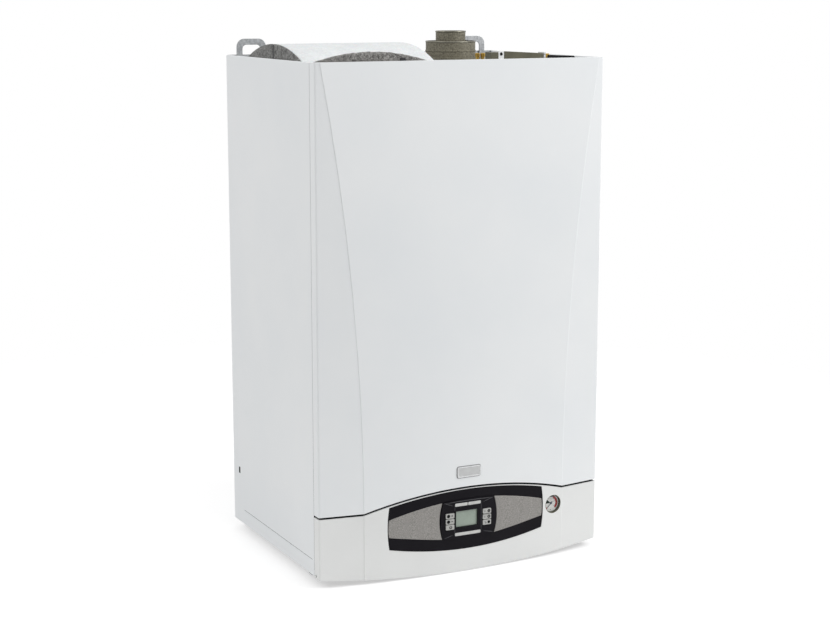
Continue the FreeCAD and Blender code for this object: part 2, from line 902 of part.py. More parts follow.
def fascia_block(wall, back_y):
    low = -float(size.fascia_drop + size.fascia_lip + size.overrun)
    high = float(size.seam_height + size.seam_rise + size.overrun)
    wire = front_outline(low, float(size.crease_inset), float(panel_sagitta), wall, back_y)
    return Part.Face(wire).extrude(FreeCAD.Vector(0, 0, high - low))


def fascia_bottom():
    """Space under the fascia's dipped bottom edge."""
    edge = float(-size.fascia_lip)
    dip = float(-size.fascia_lip - size.fascia_drop)
    far = dip - float(size.overrun * 2)
    half = float(half_width)
    y = float(centre_y - size.overrun)

    def at(x, z):
        return FreeCAD.Vector(x, y, z)

    arc = Part.Arc(at(half, edge), at(0, dip), at(-half, edge)).toShape()
    rest = Part.makePolygon([at(-half, edge), at(-half, far), at(half, far), at(half, edge)])
    return Part.Face(Part.Wire([arc] + rest.Edges)).extrude(FreeCAD.Vector(0, -y, 0))


def hinge_ear(sign):
    outer_x = half_width - size.fascia_wall - size.side_play * 2 - size.bracket_plate
    x = span(sign, outer_x - size.ear_thickness, outer_x)
    disc = rod("X", size.ear_radius, size.ear_thickness, x, hinge_y, size.hinge_level)
    web = box(x, front_y, size.hinge_level - size.ear_radius, size.ear_thickness, size.hinge_setback,
              size.ear_radius * 2)
    bore = rod("X", size.hinge_pin_radius + size.running_clearance, size.ear_thickness + size.overrun * 2,
               x - size.overrun, hinge_y, size.hinge_level)
    return [disc, web], bore


def return_heel(sign):
    """Square corner of the fascia's return that would strike the side panel as it tilts."""
    radius = return_y - hinge_y
    x = span(sign, half_width - size.fascia_wall * 2, half_width + size.overrun)
    wide = size.fascia_wall * 2 + size.overrun
    corner = box(x, hinge_y, size.hinge_level - radius - size.overrun, wide, radius + size.overrun,
                 radius + size.overrun)
    return cut(corner, rod("X", radius, wide, x, hinge_y, size.hinge_level))


def fascia():
    shell = feature(fascia_block(as_size(0), return_y).cut(
        fascia_block(size.fascia_wall, return_y + size.overrun)))
    solid = feature(fascia_block(as_size(0), return_y))
    ledge_y = unit_back_y + size.seat_gap * 2 + size.control_box_depth
    ledge = box(-control_box_width / 2, centre_y, size.ledge_level, control_box_width,
                ledge_y - centre_y, size.ledge_thickness)
    deep = feature(fascia_block(as_size(0), ledge_y + size.overrun))
    boss_y = front_y - size.gauge_seat_forward
    boss = rod("Y", size.gauge_window_radius + size.gauge_boss_wall, boss_y - centre_y,
               gauge_x, centre_y, size.gauge_level)
    ears = [hinge_ear(-1), hinge_ear(1)]
    ear_solids = ears[0][0] + ears[1][0]
    body = fuse(shell, common(fuse(ledge, boss), deep), common(fuse(*ear_solids), solid))
    window = rod("Y", size.gauge_window_radius, size.bow + size.overrun * 2, gauge_x,
                 centre_y - size.overrun, size.gauge_level)
    above = feature(seam_block(seam_edge, size.height))
    opening = bezel_prism(size.trim_clearance)
    return cut(body, opening, window, above, feature(fascia_bottom()), ears[0][1], ears[1][1],
               return_heel(-1), return_heel(1))


def bezel():
    deep = -size.bezel_recess - size.bezel_wall
    face = panel_layer(bezel_prism(as_size(0)), -size.bezel_recess, deep)
    lip_top = -size.fascia_wall - size.seat_gap
    lip = panel_layer(bezel_prism(size.bezel_lip), lip_top, lip_top - size.bezel_lip_wall)
    tools = [unit_prism(size.slip_clearance)]
    floor = -size.plate_recess - size.plate_thickness - size.seat_gap
    for sign in (-1, 1):
        tools.append(panel_layer(plate_prism(sign, size.trim_clearance), size.overrun, floor))
    return cut(fuse(face, lip), *tools)


def silver_plate(sign):
    return panel_layer(plate_prism(sign, as_size(0)), -size.plate_recess,
                       -size.plate_recess - size.plate_thickness)


# Control unit

button_columns = [("left", -size.left_button_x), ("right", size.right_button_x)]


def button_box(x, level, grow, y, depth):
    return box(x - size.button_width / 2 - grow, y, level - size.button_height / 2 - grow,
               size.button_width + grow * 2, depth, size.button_height + grow * 2)


def button_places():
    return [
        (column + "_" + row, x, size.button_level + size.button_pitch * share)
        for column, x in button_columns
        for row, share in BUTTON_PITCH_SHARES.items()
    ]


# rearmost line of the shell's inner face, at its outer edge
shell_edge_x = size.unit_half_width + size.unit_side_bulge
shell_inner_y = shell_front_y + size.unit_wall + shell_edge_x * shell_edge_x / (panel_radius * 2)
board_y = shell_inner_y + size.button_rim_wall + size.button_travel + size.trim_clearance * 2


def remote_shell():
    outer = common(unit_prism(as_size(0)), panel_drum(size.unit_proud))
    inner = common(unit_prism(-size.unit_wall), panel_drum(size.unit_proud - size.unit_wall))
    behind = box(-half_width, unit_back_y - size.unit_wall, 0, size.width, size.side_depth,
                 size.seam_height + size.seam_rise)
    window = box(-size.lcd_offset - size.lcd_width / 2, shell_front_y - size.overrun,
                 size.lcd_level - size.lcd_height / 2, size.lcd_width, size.overrun * 2, size.lcd_height)
    holes = [
        button_box(x, level, size.slip_clearance, shell_front_y - size.overrun, size.overrun * 2)
        for name, x, level in button_places()
    ]
    return cut(outer, inner, behind, window, *holes)


def remote_back():
    plate = box(-half_width, unit_back_y - size.unit_wall, 0, size.width, size.unit_wall, size.height)
    return common(unit_prism(as_size(0)), plate)


def remote_board():
    plate = box(-half_width, board_y, 0, size.width, size.unit_board_wall, size.height)
    return common(unit_prism(-size.unit_wall - size.trim_clearance), plate)


def lcd_panel():
    wide = size.lcd_width + size.lcd_border * 2
    tall = size.lcd_height + size.lcd_border * 2
    return box(-size.lcd_offset - wide / 2, board_y - size.lcd_thickness, size.lcd_level - tall / 2,
               wide, size.lcd_thickness, tall)


def button(x, level):
    across = FreeCAD.Vector(0, 1, 0)
    cap_y = shell_front_y - size.button_proud
    rim_y = shell_inner_y + size.trim_clearance
    cap = rounded(button_box(x, level, as_size(0), cap_y, rim_y - cap_y + size.button_rim_wall),
                  size.button_proud, across, lambda point: True)
    rim = button_box(x, level, size.button_rim, rim_y, size.button_rim_wall)
    return fuse(cap, rim)


# Electronics behind the fascia

control_box_y = unit_back_y + size.seat_gap * 2
control_box_z = size.ledge_level + size.ledge_thickness


def control_box():
    wall = size.control_box_wall
    x = -control_box_width / 2
    outer = box(x, control_box_y, control_box_z, control_box_width, size.control_box_depth,
                size.control_box_height)
    inner = box(x + wall, control_box_y + wall, control_box_z + wall, control_box_width - wall * 2,
                size.control_box_depth, size.control_box_height - wall * 2)
    posts = [
        rod("Y", size.post_radius, size.post_length, px, control_box_y + wall / 2, pz)
        for px, pz in post_places()
    ]
    return fuse(cut(outer, inner), *posts)


def post_places():
    reach = size.control_box_wall + size.main_board_margin * 2
    x = control_box_width / 2 - reach
    low = control_box_z + reach
    high = control_box_z + size.control_box_height - reach
    return [(-x, low), (x, low), (-x, high), (x, high)]


def main_board():
    margin = size.control_box_wall + size.main_board_margin
    y = control_box_y + size.control_box_wall / 2 + size.post_length
    return box(-control_box_width / 2 + margin, y, control_box_z + margin,
               control_box_width - margin * 2, size.main_board_wall,
               size.control_box_height - margin * 2)


# Pressure gauge, recessed in the fascia

gauge_front_y = front_y - size.gauge_seat_forward
gauge_cup_radius = size.gauge_window_radius - size.gauge_rim
gauge_neck_y = gauge_front_y - size.gauge_neck
dial_front_y = gauge_neck_y + size.dial_setback


def gauge_case():
    outer = size.gauge_window_radius + size.gauge_boss_wall
    neck = size.gauge_window_radius - size.seat_gap
    step = size.gauge_neck
    back = step + size.gauge_depth
    floor = back - size.gauge_floor / 2
    bore = size.needle_shaft_radius + size.running_clearance
    dial_back = size.dial_setback + size.dial_wall
    points = [(gauge_cup_radius, 0), (neck, 0), (neck, step), (outer, step), (outer, back), (0, back),
              (0, floor), (bore, floor), (bore, dial_back), (gauge_cup_radius, dial_back)]
    return revolved(points, "Y", gauge_x, gauge_neck_y, size.gauge_level)


def gauge_dial():
    bore = size.needle_shaft_radius + size.running_clearance
    rim = gauge_cup_radius - size.seat_gap
    points = [(bore, 0), (rim, 0), (rim, size.dial_wall), (bore, size.dial_wall)]
    return revolved(points, "Y", gauge_x, dial_front_y, size.gauge_level)


def gauge_lens():
    return rod("Y", size.gauge_window_radius - size.seat_gap, size.lens_wall, gauge_x,
               gauge_neck_y - size.lens_wall, size.gauge_level)


def gauge_needle():
    lift = size.needle_wall + size.trim_clearance
    y = dial_front_y - lift
    turn = FreeCAD.Rotation(FreeCAD.Vector(0, 1, 0), NEEDLE_REST_ANGLE)
    hub = rod("Y", size.needle_hub_radius, size.needle_wall, gauge_x, y, size.gauge_level)
    shaft_length = lift + size.gauge_neck + size.gauge_depth - size.dial_setback - size.gauge_floor
    shaft = rod("Y", size.needle_shaft_radius, shaft_length, gauge_x, y, size.gauge_level)
    half = size.needle_width / 2
    outline = [(-half, -size.needle_tail), (half, -size.needle_tail), (0, size.needle_length)]
    corners = [vector(x, 0, z) for x, z in outline]
    face = Part.Face(Part.makePolygon(corners + corners[:1]))
    blade = feature(face.extrude(vector(0, size.needle_wall, 0)))
    place(blade, gauge_x, y, size.gauge_level, turn)
    return fuse(hub, shaft, blade)


# Tank and insulation

insulation_x = -half_width + size.insulation_side_gap
insulation_width = across.tank_width + (size.insulation_wall + size.tank_gap) * 2
insulation_y = front_y + size.insulation_front_gap
insulation_depth = size.side_depth - size.insulation_front_gap - size.insulation_back_gap
insulation_z = upward.tank_shelf_level + size.tank_shelf_wall
insulation_right = insulation_x + insulation_width
tank_x = insulation_x + size.insulation_wall + size.tank_gap
tank_y = insulation_y + size.insulation_wall + size.tank_gap
tank_depth = insulation_depth - (size.insulation_wall + size.tank_gap) * 2
tank_z = insulation_z + size.insulation_floor
tank_top = size.height - size.tank_top_gap
tank_centre_x = tank_x + across.tank_width / 2
vault_y = insulation_y + insulation_depth / 2
vault_z = size.height + size.vault_rise - size.vault_radius
block_x = across.block_left
block_y = -inward.block_from_wall - size.block_depth
block_mid_y = block_y + size.block_depth / 2
coil_y = block_mid_y
coil_xs = [tank_centre_x + across.coil_pitch * share for share in COIL_PITCH_SHARES]
water_y = -inward.tank_pipe_from_wall
hot_x = coil_xs[1]
cold_x = coil_xs[2]


def tank_pipe_holes(clearance):
    """Passages for the four pipes under the tank."""
    low = upward.tank_shelf_level - size.overrun
    tall = tank_z - low
    places = [(coil_xs[0], coil_y), (coil_xs[-1], coil_y), (hot_x, water_y), (cold_x, water_y)]
    return [rod("Z", size.water_radius + clearance, tall, x, y, low) for x, y in places]


def tank_shelf():
    left = -inner_x + size.rear_flange + size.trim_clearance
    length = insulation_right - left
    wall = size.tank_shelf_wall
    plate = box(left, insulation_y, upward.tank_shelf_level, length, back_face_y - insulation_y, wall)
    flange = box(left, back_face_y - wall, upward.tank_shelf_level, length, wall, size.tank_shelf_flange)
    return cut(fuse(plate, flange), *tank_pipe_holes(size.trim_clearance))


def insulation_jacket():
    gap = size.tank_gap
    outer = box(insulation_x, insulation_y, insulation_z, insulation_width, insulation_depth,
                tank_top - insulation_z)
    hollow = box(tank_x - gap, tank_y - gap, tank_z, across.tank_width + gap * 2, tank_depth + gap * 2,
                 size.height)
    return cut(outer, hollow, *tank_pipe_holes(size.trim_clearance))


def vault(x, length):
    """Round-topped block across the insulation, from the tank's top to the vault."""
    tall = size.height + size.vault_rise + size.overrun - tank_top
    blank = box(x, insulation_y, tank_top, length, insulation_depth, tall)
    return common(blank, rod("X", size.vault_radius, length, x, vault_y, vault_z))


def insulation_cap():
    return vault(insulation_x, insulation_width)


def side_foam_pad():
    slit = box(insulation_x - size.foam_wall - size.overrun, vault_y - size.foam_slit / 2, tank_top,
               size.overrun + size.foam_wall / 2, size.foam_slit, size.height)
    return cut(vault(insulation_x - size.foam_wall, size.foam_wall), slit)


def front_felt_pad():
    centre_x = tank_centre_x - across.felt_offset
    top = size.height + size.felt_rise
    y = insulation_y - size.felt_wall
    blank = box(centre_x - across.felt_width / 2, y, top - size.felt_drop, across.felt_width, size.felt_wall,
                size.felt_drop)
    return common(blank, rod("Y", size.felt_radius, size.felt_wall, centre_x, y, top - size.felt_radius))


def storage_tank():
    upright = FreeCAD.Vector(0, 0, 1)
    wall = size.tank_wall
    outer = box(tank_x, tank_y, tank_z, across.tank_width, tank_depth, tank_top - tank_z)
    inner = box(tank_x + wall, tank_y + wall, tank_z + wall, across.tank_width - wall * 2,
                tank_depth - wall * 2, tank_top - tank_z - wall * 2)
    outer = rounded(outer, size.tank_corner, upright, lambda point: True)
    inner = rounded(inner, size.tank_corner - wall, upright, lambda point: True)
    return cut(outer, inner)


def tank_coil():
    low = tank_z + size.tank_wall
    high = tank_top - size.coil_top_gap
    turn = low + size.coil_lift
    heights = [(low, high), (high, turn), (turn, high), (high, low)]
    points = []
    for x, pair in zip(coil_xs, heights):
        points += [(x, coil_y, z) for z in pair]
    return pipe(size.coil_radius, size.coil_wall, across.coil_pitch / 2 - size.seat_gap, points)


# Sealed chamber with the flue, heat exchanger, burner and fan

chamber_x = insulation_right + size.chamber_left_gap
chamber_right = inner_x - size.chamber_right_gap
chamber_width = chamber_right - chamber_x
chamber_y = front_y + size.chamber_front_gap
chamber_back_y = -size.chamber_back_gap
chamber_top = size.height - size.chamber_top_gap
hatch_x = across.latch_left + size.latch_width
hatch_y = chamber_y + size.hatch_from_door
clip_x = hatch_x + size.hatch_width
flue_y = -inward.flue_from_wall
exchanger_z = upward.chamber_floor + size.exchanger_level
exchanger_back_y = chamber_back_y - size.chamber_wall
exchanger_front_y = exchanger_back_y - inward.exchanger_length
exchanger_foot_z = exchanger_z - size.exchanger_boss_drop
burner_front_y = exchanger_front_y - size.burner_door_wall
fan_x = across.flue_x + across.fan_offset
fan_z = upward.chamber_floor + size.fan_level
fan_back_y = burner_front_y - inward.fan_from_burner
fan_front_y = fan_back_y - inward.fan_depth
fan_middle_y = fan_front_y + inward.fan_depth / 2
fan_outlet_z = fan_z + size.fan_outlet_rise
gas_y = -inward.gas_from_wall
gas_stub_z = fan_z - size.gas_stub_drop
flow_x = across.flue_x - across.boiler_pipe_spread
back_x = across.flue_x + across.boiler_pipe_spread
boiler_pipe_y = -inward.boiler_pipe_from_wall
drain_x = across.trap_x + across.drain_shift
drain_y = -inward.trap_from_wall


def chamber_box():
    wall = size.chamber_wall
    tall = chamber_top - upward.chamber_floor
    depth = chamber_back_y - chamber_y
    outer = box(chamber_x, chamber_y, upward.chamber_floor, chamber_width, depth, tall)
    inner = box(chamber_x + wall, chamber_y - size.overrun, upward.chamber_floor + wall,
                chamber_width - wall * 2, depth + size.overrun - wall, tall - wall * 2)
    rail_x = chamber_x + (chamber_width - across.chamber_rail_width) / 2
    rails = [
        box(rail_x, chamber_back_y - wall / 2, z, across.chamber_rail_width,
            back_face_y - chamber_back_y + wall / 2, size.chamber_rail_height)
        for z in (exchanger_z, chamber_top - size.chamber_rail_height * 2)
    ]
    air = rod("Z", size.air_radius - size.air_wall, size.overrun * 2, across.flue_x, flue_y,
              chamber_top - size.overrun)
    floor_z = upward.chamber_floor - size.overrun
    passages = [
        rod("Z", radius + size.trim_clearance, size.overrun * 2, x, y, floor_z)
        for radius, x, y in (
            (size.heating_radius, flow_x, boiler_pipe_y), (size.heating_radius, back_x, boiler_pipe_y),
            (size.gas_radius, fan_x, gas_y), (size.water_radius, across.trap_x, drain_y))
    ]
    return cut(fuse(cut(outer, inner), *rails), air, *passages)


def chamber_door():
    plate = box(chamber_x, chamber_y - size.chamber_wall, upward.chamber_floor, chamber_width,
                size.chamber_wall, chamber_top - upward.chamber_floor)
    sight_hole = rod("Y", size.sight_hole_radius, size.overrun * 2, across.flue_x, chamber_y - size.overrun,
                     exchanger_z)
    return cut(plate, sight_hole)


def hatch_cover():
    upright = FreeCAD.Vector(0, 0, 1)
    top = size.height + size.hatch_rise
    block = box(hatch_x, hatch_y, chamber_top, size.hatch_width, size.hatch_depth, top - chamber_top)
    low = hatch_y - size.overrun
    corners = [vector(hatch_x, low, top), vector(clip_x, low, top - size.hatch_fall),
               vector(clip_x, low, top)]
    slope = Part.Face(Part.makePolygon(corners + corners[:1]))
    fall = feature(slope.extrude(vector(0, size.hatch_depth + size.overrun * 2, 0)))
    wing = box(across.latch_left - size.hatch_wing_width, hatch_y, chamber_top, size.hatch_wing_width,
               size.hatch_depth, size.chamber_top_gap + size.hatch_wing_rise)
    return group(cut(rounded(block, size.hatch_corner, upright, lambda point: True), fall), wing)


def hatch_clips():
    clips = []
    for x, wide, rise, radius in (
            (across.latch_left, size.latch_width, size.latch_rise, size.latch_hole_radius),
            (clip_x, size.clip_width, size.clip_rise, size.clip_hole_radius)):
        tab = box(x, hatch_y, chamber_top, wide, size.hatch_depth, size.chamber_top_gap + rise)
        hole = rod("Y", radius, size.overrun + size.latch_hole_depth, x + wide / 2, hatch_y - size.overrun,
                   size.height + rise / 2)
        clips.append(cut(tab, hole))
    return group(*clips)


def test_plugs():
    pair_y = flue_y - size.plug_from_flue
    side_x = clip_x + size.clip_width + size.plug_radius * 2
    places = [(across.flue_x - size.plug_pitch / 2, pair_y), (across.flue_x + size.plug_pitch / 2, pair_y),
              (side_x, hatch_y + size.hatch_depth / 2)]
    neck = size.plug_neck_radius
    top = size.plug_height
    points = [(0, 0), (neck, 0), (neck, top / 2), (size.plug_radius, top / 2),
              (size.plug_radius, top - size.plug_bevel), (size.plug_radius - size.plug_bevel, top), (0, top)]
    return group(*[revolved(points, "Z", x, y, chamber_top) for x, y in places])


def flue_adaptor():
    bore = size.air_radius - size.air_wall
    foot = size.air_radius + size.flue_flange
    top = size.height + size.air_rise - chamber_top
    bead_low = size.height + size.air_bead_level - chamber_top
    bead_high = bead_low + size.air_bead_height
    tube = size.air_radius
    bead = tube + size.air_bead
    points = [(bore, 0), (foot, 0), (foot, size.flue_flange_wall), (tube, size.flue_flange_wall),
              (tube, bead_low), (bead, bead_low + size.air_bead), (bead, bead_high),
              (tube, bead_high + size.air_bead), (tube, top), (bore, top)]
    return revolved(points, "Z", across.flue_x, flue_y, chamber_top)


def flue_tube():
    low = exchanger_z + size.exchanger_boss_drop
    top = size.height + size.flue_rise - low
    tube = size.flue_radius
    bore = tube - size.flue_wall
    lower = tube - size.flue_spigot_step
    step = top - size.flue_spigot
    points = [(bore, 0), (lower, 0), (lower, step), (tube, step), (tube, top), (bore, top)]
    return revolved(points, "Z", across.flue_x, flue_y, low)


def heat_exchanger():
    length = inward.exchanger_length
    drum = rod("Y", size.exchanger_radius, length, across.flue_x, exchanger_front_y, exchanger_z)
    ribs = [
        rod("Y", size.exchanger_radius + size.exchanger_rib, size.exchanger_rib_width, across.flue_x,
            exchanger_front_y + length * share - size.exchanger_rib_width / 2, exchanger_z)
        for share in RIB_SHARES
    ]
    feet = [
        rod("Z", size.exchanger_boss_radius, size.exchanger_boss_drop / 2, x, y, exchanger_foot_z)
        for x, y in ((flow_x, boiler_pipe_y), (back_x, boiler_pipe_y), (drain_x, drain_y))
    ]
    neck = rod("Z", size.exchanger_neck_radius, size.exchanger_boss_drop, across.flue_x, flue_y, exchanger_z)
    cavity = rod("Y", size.exchanger_cavity_radius, length - size.exchanger_back_wall + size.overrun,
                 across.flue_x, exchanger_front_y - size.overrun, exchanger_z)
    gas_way = rod("Z", size.gas_way_radius, size.exchanger_boss_drop + size.overrun, across.flue_x, flue_y,
                  exchanger_z)
    face_trim = box(across.flue_x - size.exchanger_radius, exchanger_front_y - size.exchanger_radius,
                    exchanger_z - size.exchanger_radius * 2, size.exchanger_radius * 2, size.exchanger_radius,
                    size.exchanger_radius * 4)
    return cut(fuse(drum, neck, *ribs, *feet), cavity, gas_way, face_trim)


def burner():
    door = rod("Y", size.burner_door_radius, size.burner_door_wall, across.flue_x, burner_front_y,
               exchanger_z)
    tube = rod("Y", size.burner_radius, inward.burner_length, across.flue_x, exchanger_front_y, exchanger_z)
    inside = rod("Y", size.burner_radius - size.burner_wall,
                 inward.burner_length + size.burner_door_wall / 2 - size.burner_wall, across.flue_x,
                 exchanger_front_y - size.burner_door_wall / 2, exchanger_z)
    inlet = rod("Y", size.mixing_radius - size.mixing_wall, size.burner_door_wall, across.flue_x,
                burner_front_y, exchanger_z)
    elbow = pipe(size.mixing_radius, size.mixing_wall, size.mixing_bend, [
        (across.flue_x, fan_middle_y, fan_outlet_z), (across.flue_x, fan_middle_y, exchanger_z),
        (across.flue_x, burner_front_y, exchanger_z)])
    return fuse(cut(fuse(door, tube), inside, inlet), elbow)


def fan_housing():
    wall = size.fan_wall
    drum = rod("Y", size.fan_radius, inward.fan_depth, fan_x, fan_front_y, fan_z)
    outlet_x = across.flue_x - inward.fan_outlet / 2
    outlet_y = fan_middle_y - inward.fan_outlet / 2
    outlet = box(outlet_x, outlet_y, fan_z, inward.fan_outlet, inward.fan_outlet, size.fan_outlet_rise)
    inlet_radius = size.fan_inlet_radius
    inlet = rod("Y", inlet_radius + size.fan_inlet_wall, size.fan_inlet_depth, fan_x, fan_back_y, fan_z)
    stub_half = size.gas_radius + size.pipe_wall
    stub = box(fan_x - stub_half, gas_y - stub_half, gas_stub_z, stub_half * 2, stub_half * 2,
               size.gas_stub_drop)
    cavity = rod("Y", size.fan_radius - wall, inward.fan_depth - wall * 2, fan_x, fan_front_y + wall, fan_z)
    throat = rod("Y", inlet_radius, size.fan_inlet_depth + size.overrun, fan_x, fan_back_y - wall * 2, fan_z)
    way_half = size.mixing_radius - size.mixing_wall
    way = rod("Z", way_half, size.fan_outlet_rise + size.overrun, across.flue_x, fan_middle_y, fan_z)
    shaft_hole = rod("Y", size.fan_shaft_hole_radius, size.overrun, fan_x, fan_front_y - size.overrun / 2,
                     fan_z)
    gas_hole = rod("Z", size.gas_radius - size.pipe_wall, size.gas_stub_drop, fan_x, gas_y, gas_stub_z)
    return cut(fuse(drum, outlet, inlet, stub), cavity, throat, way, shaft_hole, gas_hole)


def fan_motor():
    bore = size.fan_shaft_radius + size.running_clearance
    depth = size.fan_shaft_depth + size.trim_clearance
    length = inward.fan_motor_length
    radius = size.fan_motor_radius
    bevel = size.fan_motor_bevel
    points = [(bore, length), (bore, length - depth), (0, length - depth), (0, 0), (radius - bevel, 0),
              (radius, bevel), (radius, length)]
    return revolved(points, "Y", fan_x, fan_front_y - length, fan_z)


def spokes(count, make):
    """Blades set out evenly about the Y axis; make gives one blade at the top of its own frame."""
    blades = []
    for number in range(count):
        blades.append(make(FreeCAD.Rotation(FreeCAD.Vector(0, 1, 0), 360.0 * number / count)))
    return blades


def turned_blade(width, depth, height, inner_radius, x, y, z, rotation):
    """Upright blade beyond an inner radius, turned about the wheel's axis."""
    corner = vector(-width / 2, 0, inner_radius)
    shape = Part.makeBox(float(width), float(depth), float(height), corner)
    return place(feature(shape), x, y, z, rotation)


def fan_wheel():
    wall = size.fan_wall
    front_play_y = fan_front_y + wall + size.fan_wheel_play
    blade_y = front_play_y + size.fan_disc
    blade_depth = inward.fan_depth - wall * 2 - size.fan_wheel_play * 2 - size.fan_disc
    disc = rod("Y", size.fan_wheel_radius, size.fan_disc, fan_x, front_play_y, fan_z)
    shaft_y = fan_front_y - size.fan_shaft_depth
    shaft = rod("Y", size.fan_shaft_radius, front_play_y - shaft_y, fan_x, shaft_y, fan_z)
    inner_radius = size.fan_wheel_radius - size.fan_blade - size.fan_disc
    blades = spokes(FAN_BLADES, lambda rotation: turned_blade(
        size.fan_blade_wall, blade_depth + size.fan_disc / 2, size.fan_blade, inner_radius, fan_x,
        blade_y - size.fan_disc / 2, fan_z, rotation))
    return fuse(disc, shaft, *blades)


# Gas line and expansion vessel

def gas_valve():
    half = size.gas_valve_width / 2
    body = box(fan_x - half, gas_y - half, upward.gas_valve_level, size.gas_valve_width, size.gas_valve_width,
               size.gas_valve_height)
    coils = [
        rod("Y", size.solenoid_radius, size.solenoid_length, fan_x, gas_y - half - size.solenoid_length,
            upward.gas_valve_level + size.gas_valve_height * share)
        for share in SOLENOID_SHARES
    ]
    return fuse(body, *coils)


union_y = -inward.union_from_wall
pipe_start_z = upward.rail_level + size.rail_height
union_xs = [across.union_pitch * share for share in UNION_PITCH_SHARES]
flow_union_x, hot_union_x, cold_union_x, gas_union_x, return_union_x = union_xs


def gas_pipes():
    low, high = upward.gas_low_level, upward.gas_high_level
    route = [(gas_union_x, union_y, pipe_start_z), (gas_union_x, union_y, low), (gas_union_x, gas_y, low),
             (gas_union_x, gas_y, high), (fan_x, gas_y, high), (fan_x, gas_y, upward.gas_valve_level)]
    lower = pipe(size.gas_radius, size.pipe_wall, size.pipe_bend, route)
    upper = pipe(size.gas_radius, size.pipe_wall, size.pipe_bend,
                 [(fan_x, gas_y, upward.gas_valve_level + size.gas_valve_height), (fan_x, gas_y, gas_stub_z)])
    return [lower, upper]


def expansion_vessel():
    radius = size.vessel_radius
    dome = radius - size.vessel_dome
    shoulder = size.vessel_shoulder
    rim = size.vessel_rim
    depth = inward.vessel_depth
    total = depth + inward.vessel_boss_length
    points = [(0, 0), (dome, 0), (radius - shoulder, shoulder), (radius, rim), (radius, depth - rim),
              (radius - shoulder, depth - shoulder), (dome, depth),
              (size.vessel_boss, depth), (size.vessel_boss, total), (0, total)]
    centre_x = chamber_x + chamber_width / 2
    return revolved(points, "Y", centre_x, back_face_y - total, upward.vessel_level)


# Water side below the tank

block_right = block_x + across.block_width
block_top = upward.block_level + size.block_height
safety_x = block_right - size.safety_inset
tap_x = block_right - size.tap_inset
pump_z = upward.block_level + size.pump_rise
spool_z = upward.block_level + size.spool_rise
spool_bore_x = block_right - size.spool_bore_depth
knob_bore = size.knob_spigot_radius + size.running_clearance
knob_bore_depth = size.knob_spigot_length + size.trim_clearance


def hydraulic_block():
    body = box(block_x, block_y, upward.block_level, across.block_width, size.block_depth, size.block_height)
    safety = rod("Z", size.safety_body_radius, size.safety_body_height, safety_x, block_mid_y, block_top)
    tap = rod("Z", size.tap_body_radius, size.tap_body_height, tap_x, block_mid_y,
              upward.block_level - size.tap_body_height)
    bore = rod("X", size.spool_radius + size.running_clearance, size.spool_bore_depth + size.overrun,
               spool_bore_x, block_mid_y, spool_z)
    safety_top = block_top + size.safety_body_height
    safety_bore = rod("Z", knob_bore, knob_bore_depth + size.overrun, safety_x, block_mid_y,
                      safety_top - knob_bore_depth)
    tap_bottom = upward.block_level - size.tap_body_height
    tap_bore = rod("Z", knob_bore, knob_bore_depth + size.overrun, tap_x, block_mid_y,
                   tap_bottom - size.overrun)
    return cut(fuse(body, safety, tap), bore, safety_bore, tap_bore)


def knob(x, y, base_z, sign):
    """Ribbed knob whose spigot turns in the bore of the body that carries it."""
    low = base_z + size.knob_play if sign > 0 else base_z - size.knob_play - size.knob_height
    grip = rod("Z", size.knob_radius - size.knob_rib, size.knob_height, x, y, low)
    length = size.knob_spigot_length + size.knob_play
    spigot_z = base_z - size.knob_spigot_length if sign > 0 else base_z - size.knob_play
    spigot = rod("Z", size.knob_spigot_radius, length, x, y, spigot_z)
    ribs = []
    for number in range(KNOB_RIBS):
        angle = 2 * math.pi * number / KNOB_RIBS
        reach = size.knob_radius - size.knob_rib
        ribs.append(rod("Z", size.knob_rib, size.knob_height, x + reach * math.cos(angle),
                        y + reach * math.sin(angle), low))
    return fuse(grip, spigot, *ribs)


def safety_knob():
    return knob(safety_x, block_mid_y, block_top + size.safety_body_height, 1)


def filling_knob():
    return knob(tap_x, block_mid_y, upward.block_level - size.tap_body_height, -1)


def pump_body():
    front = block_y - size.pump_depth
    drum = rod("Y", size.pump_radius, size.pump_depth, across.pump_x, front, pump_z)
    cavity = rod("Y", size.pump_cavity_radius, size.pump_cavity_depth + size.overrun, across.pump_x,
                 front - size.overrun, pump_z)
    return cut(drum, cavity)


def pump_motor():
    bore = size.pump_shaft_radius + size.running_clearance
    depth = size.pump_shaft_depth + size.trim_clearance
    length = size.pump_motor_length
    radius = size.pump_motor_radius
    bevel = size.pump_motor_bevel
    points = [(bore, length), (bore, length - depth), (0, length - depth), (0, 0), (radius - bevel, 0),
              (radius, bevel), (radius, length)]
    return revolved(points, "Y", across.pump_x, block_y - size.pump_depth - length, pump_z)


def pump_impeller():
    mouth_y = block_y - size.pump_depth
    disc_y = mouth_y + size.impeller_play
    disc = rod("Y", size.impeller_radius, size.impeller_disc, across.pump_x, disc_y, pump_z)
    shaft = rod("Y", size.pump_shaft_radius, size.pump_shaft_depth + size.impeller_play, across.pump_x,
                mouth_y - size.pump_shaft_depth, pump_z)
    vane_root = size.pump_shaft_radius
    vanes = spokes(IMPELLER_VANES, lambda rotation: turned_blade(
        size.impeller_vane_wall, size.impeller_vane + size.impeller_disc / 2,
        size.impeller_radius - vane_root - size.impeller_vane_wall, vane_root, across.pump_x,
        disc_y + size.impeller_disc / 2, pump_z, rotation))
    return fuse(disc, shaft, *vanes)


def valve_spool():
    land_x = spool_bore_x + size.spool_travel
    land = rod("X", size.spool_radius, size.spool_length, land_x, block_mid_y, spool_z)
    stem = rod("X", size.spool_stem_radius, size.spool_stem_length, land_x + size.spool_length, block_mid_y,
               spool_z)
    return fuse(land, stem)


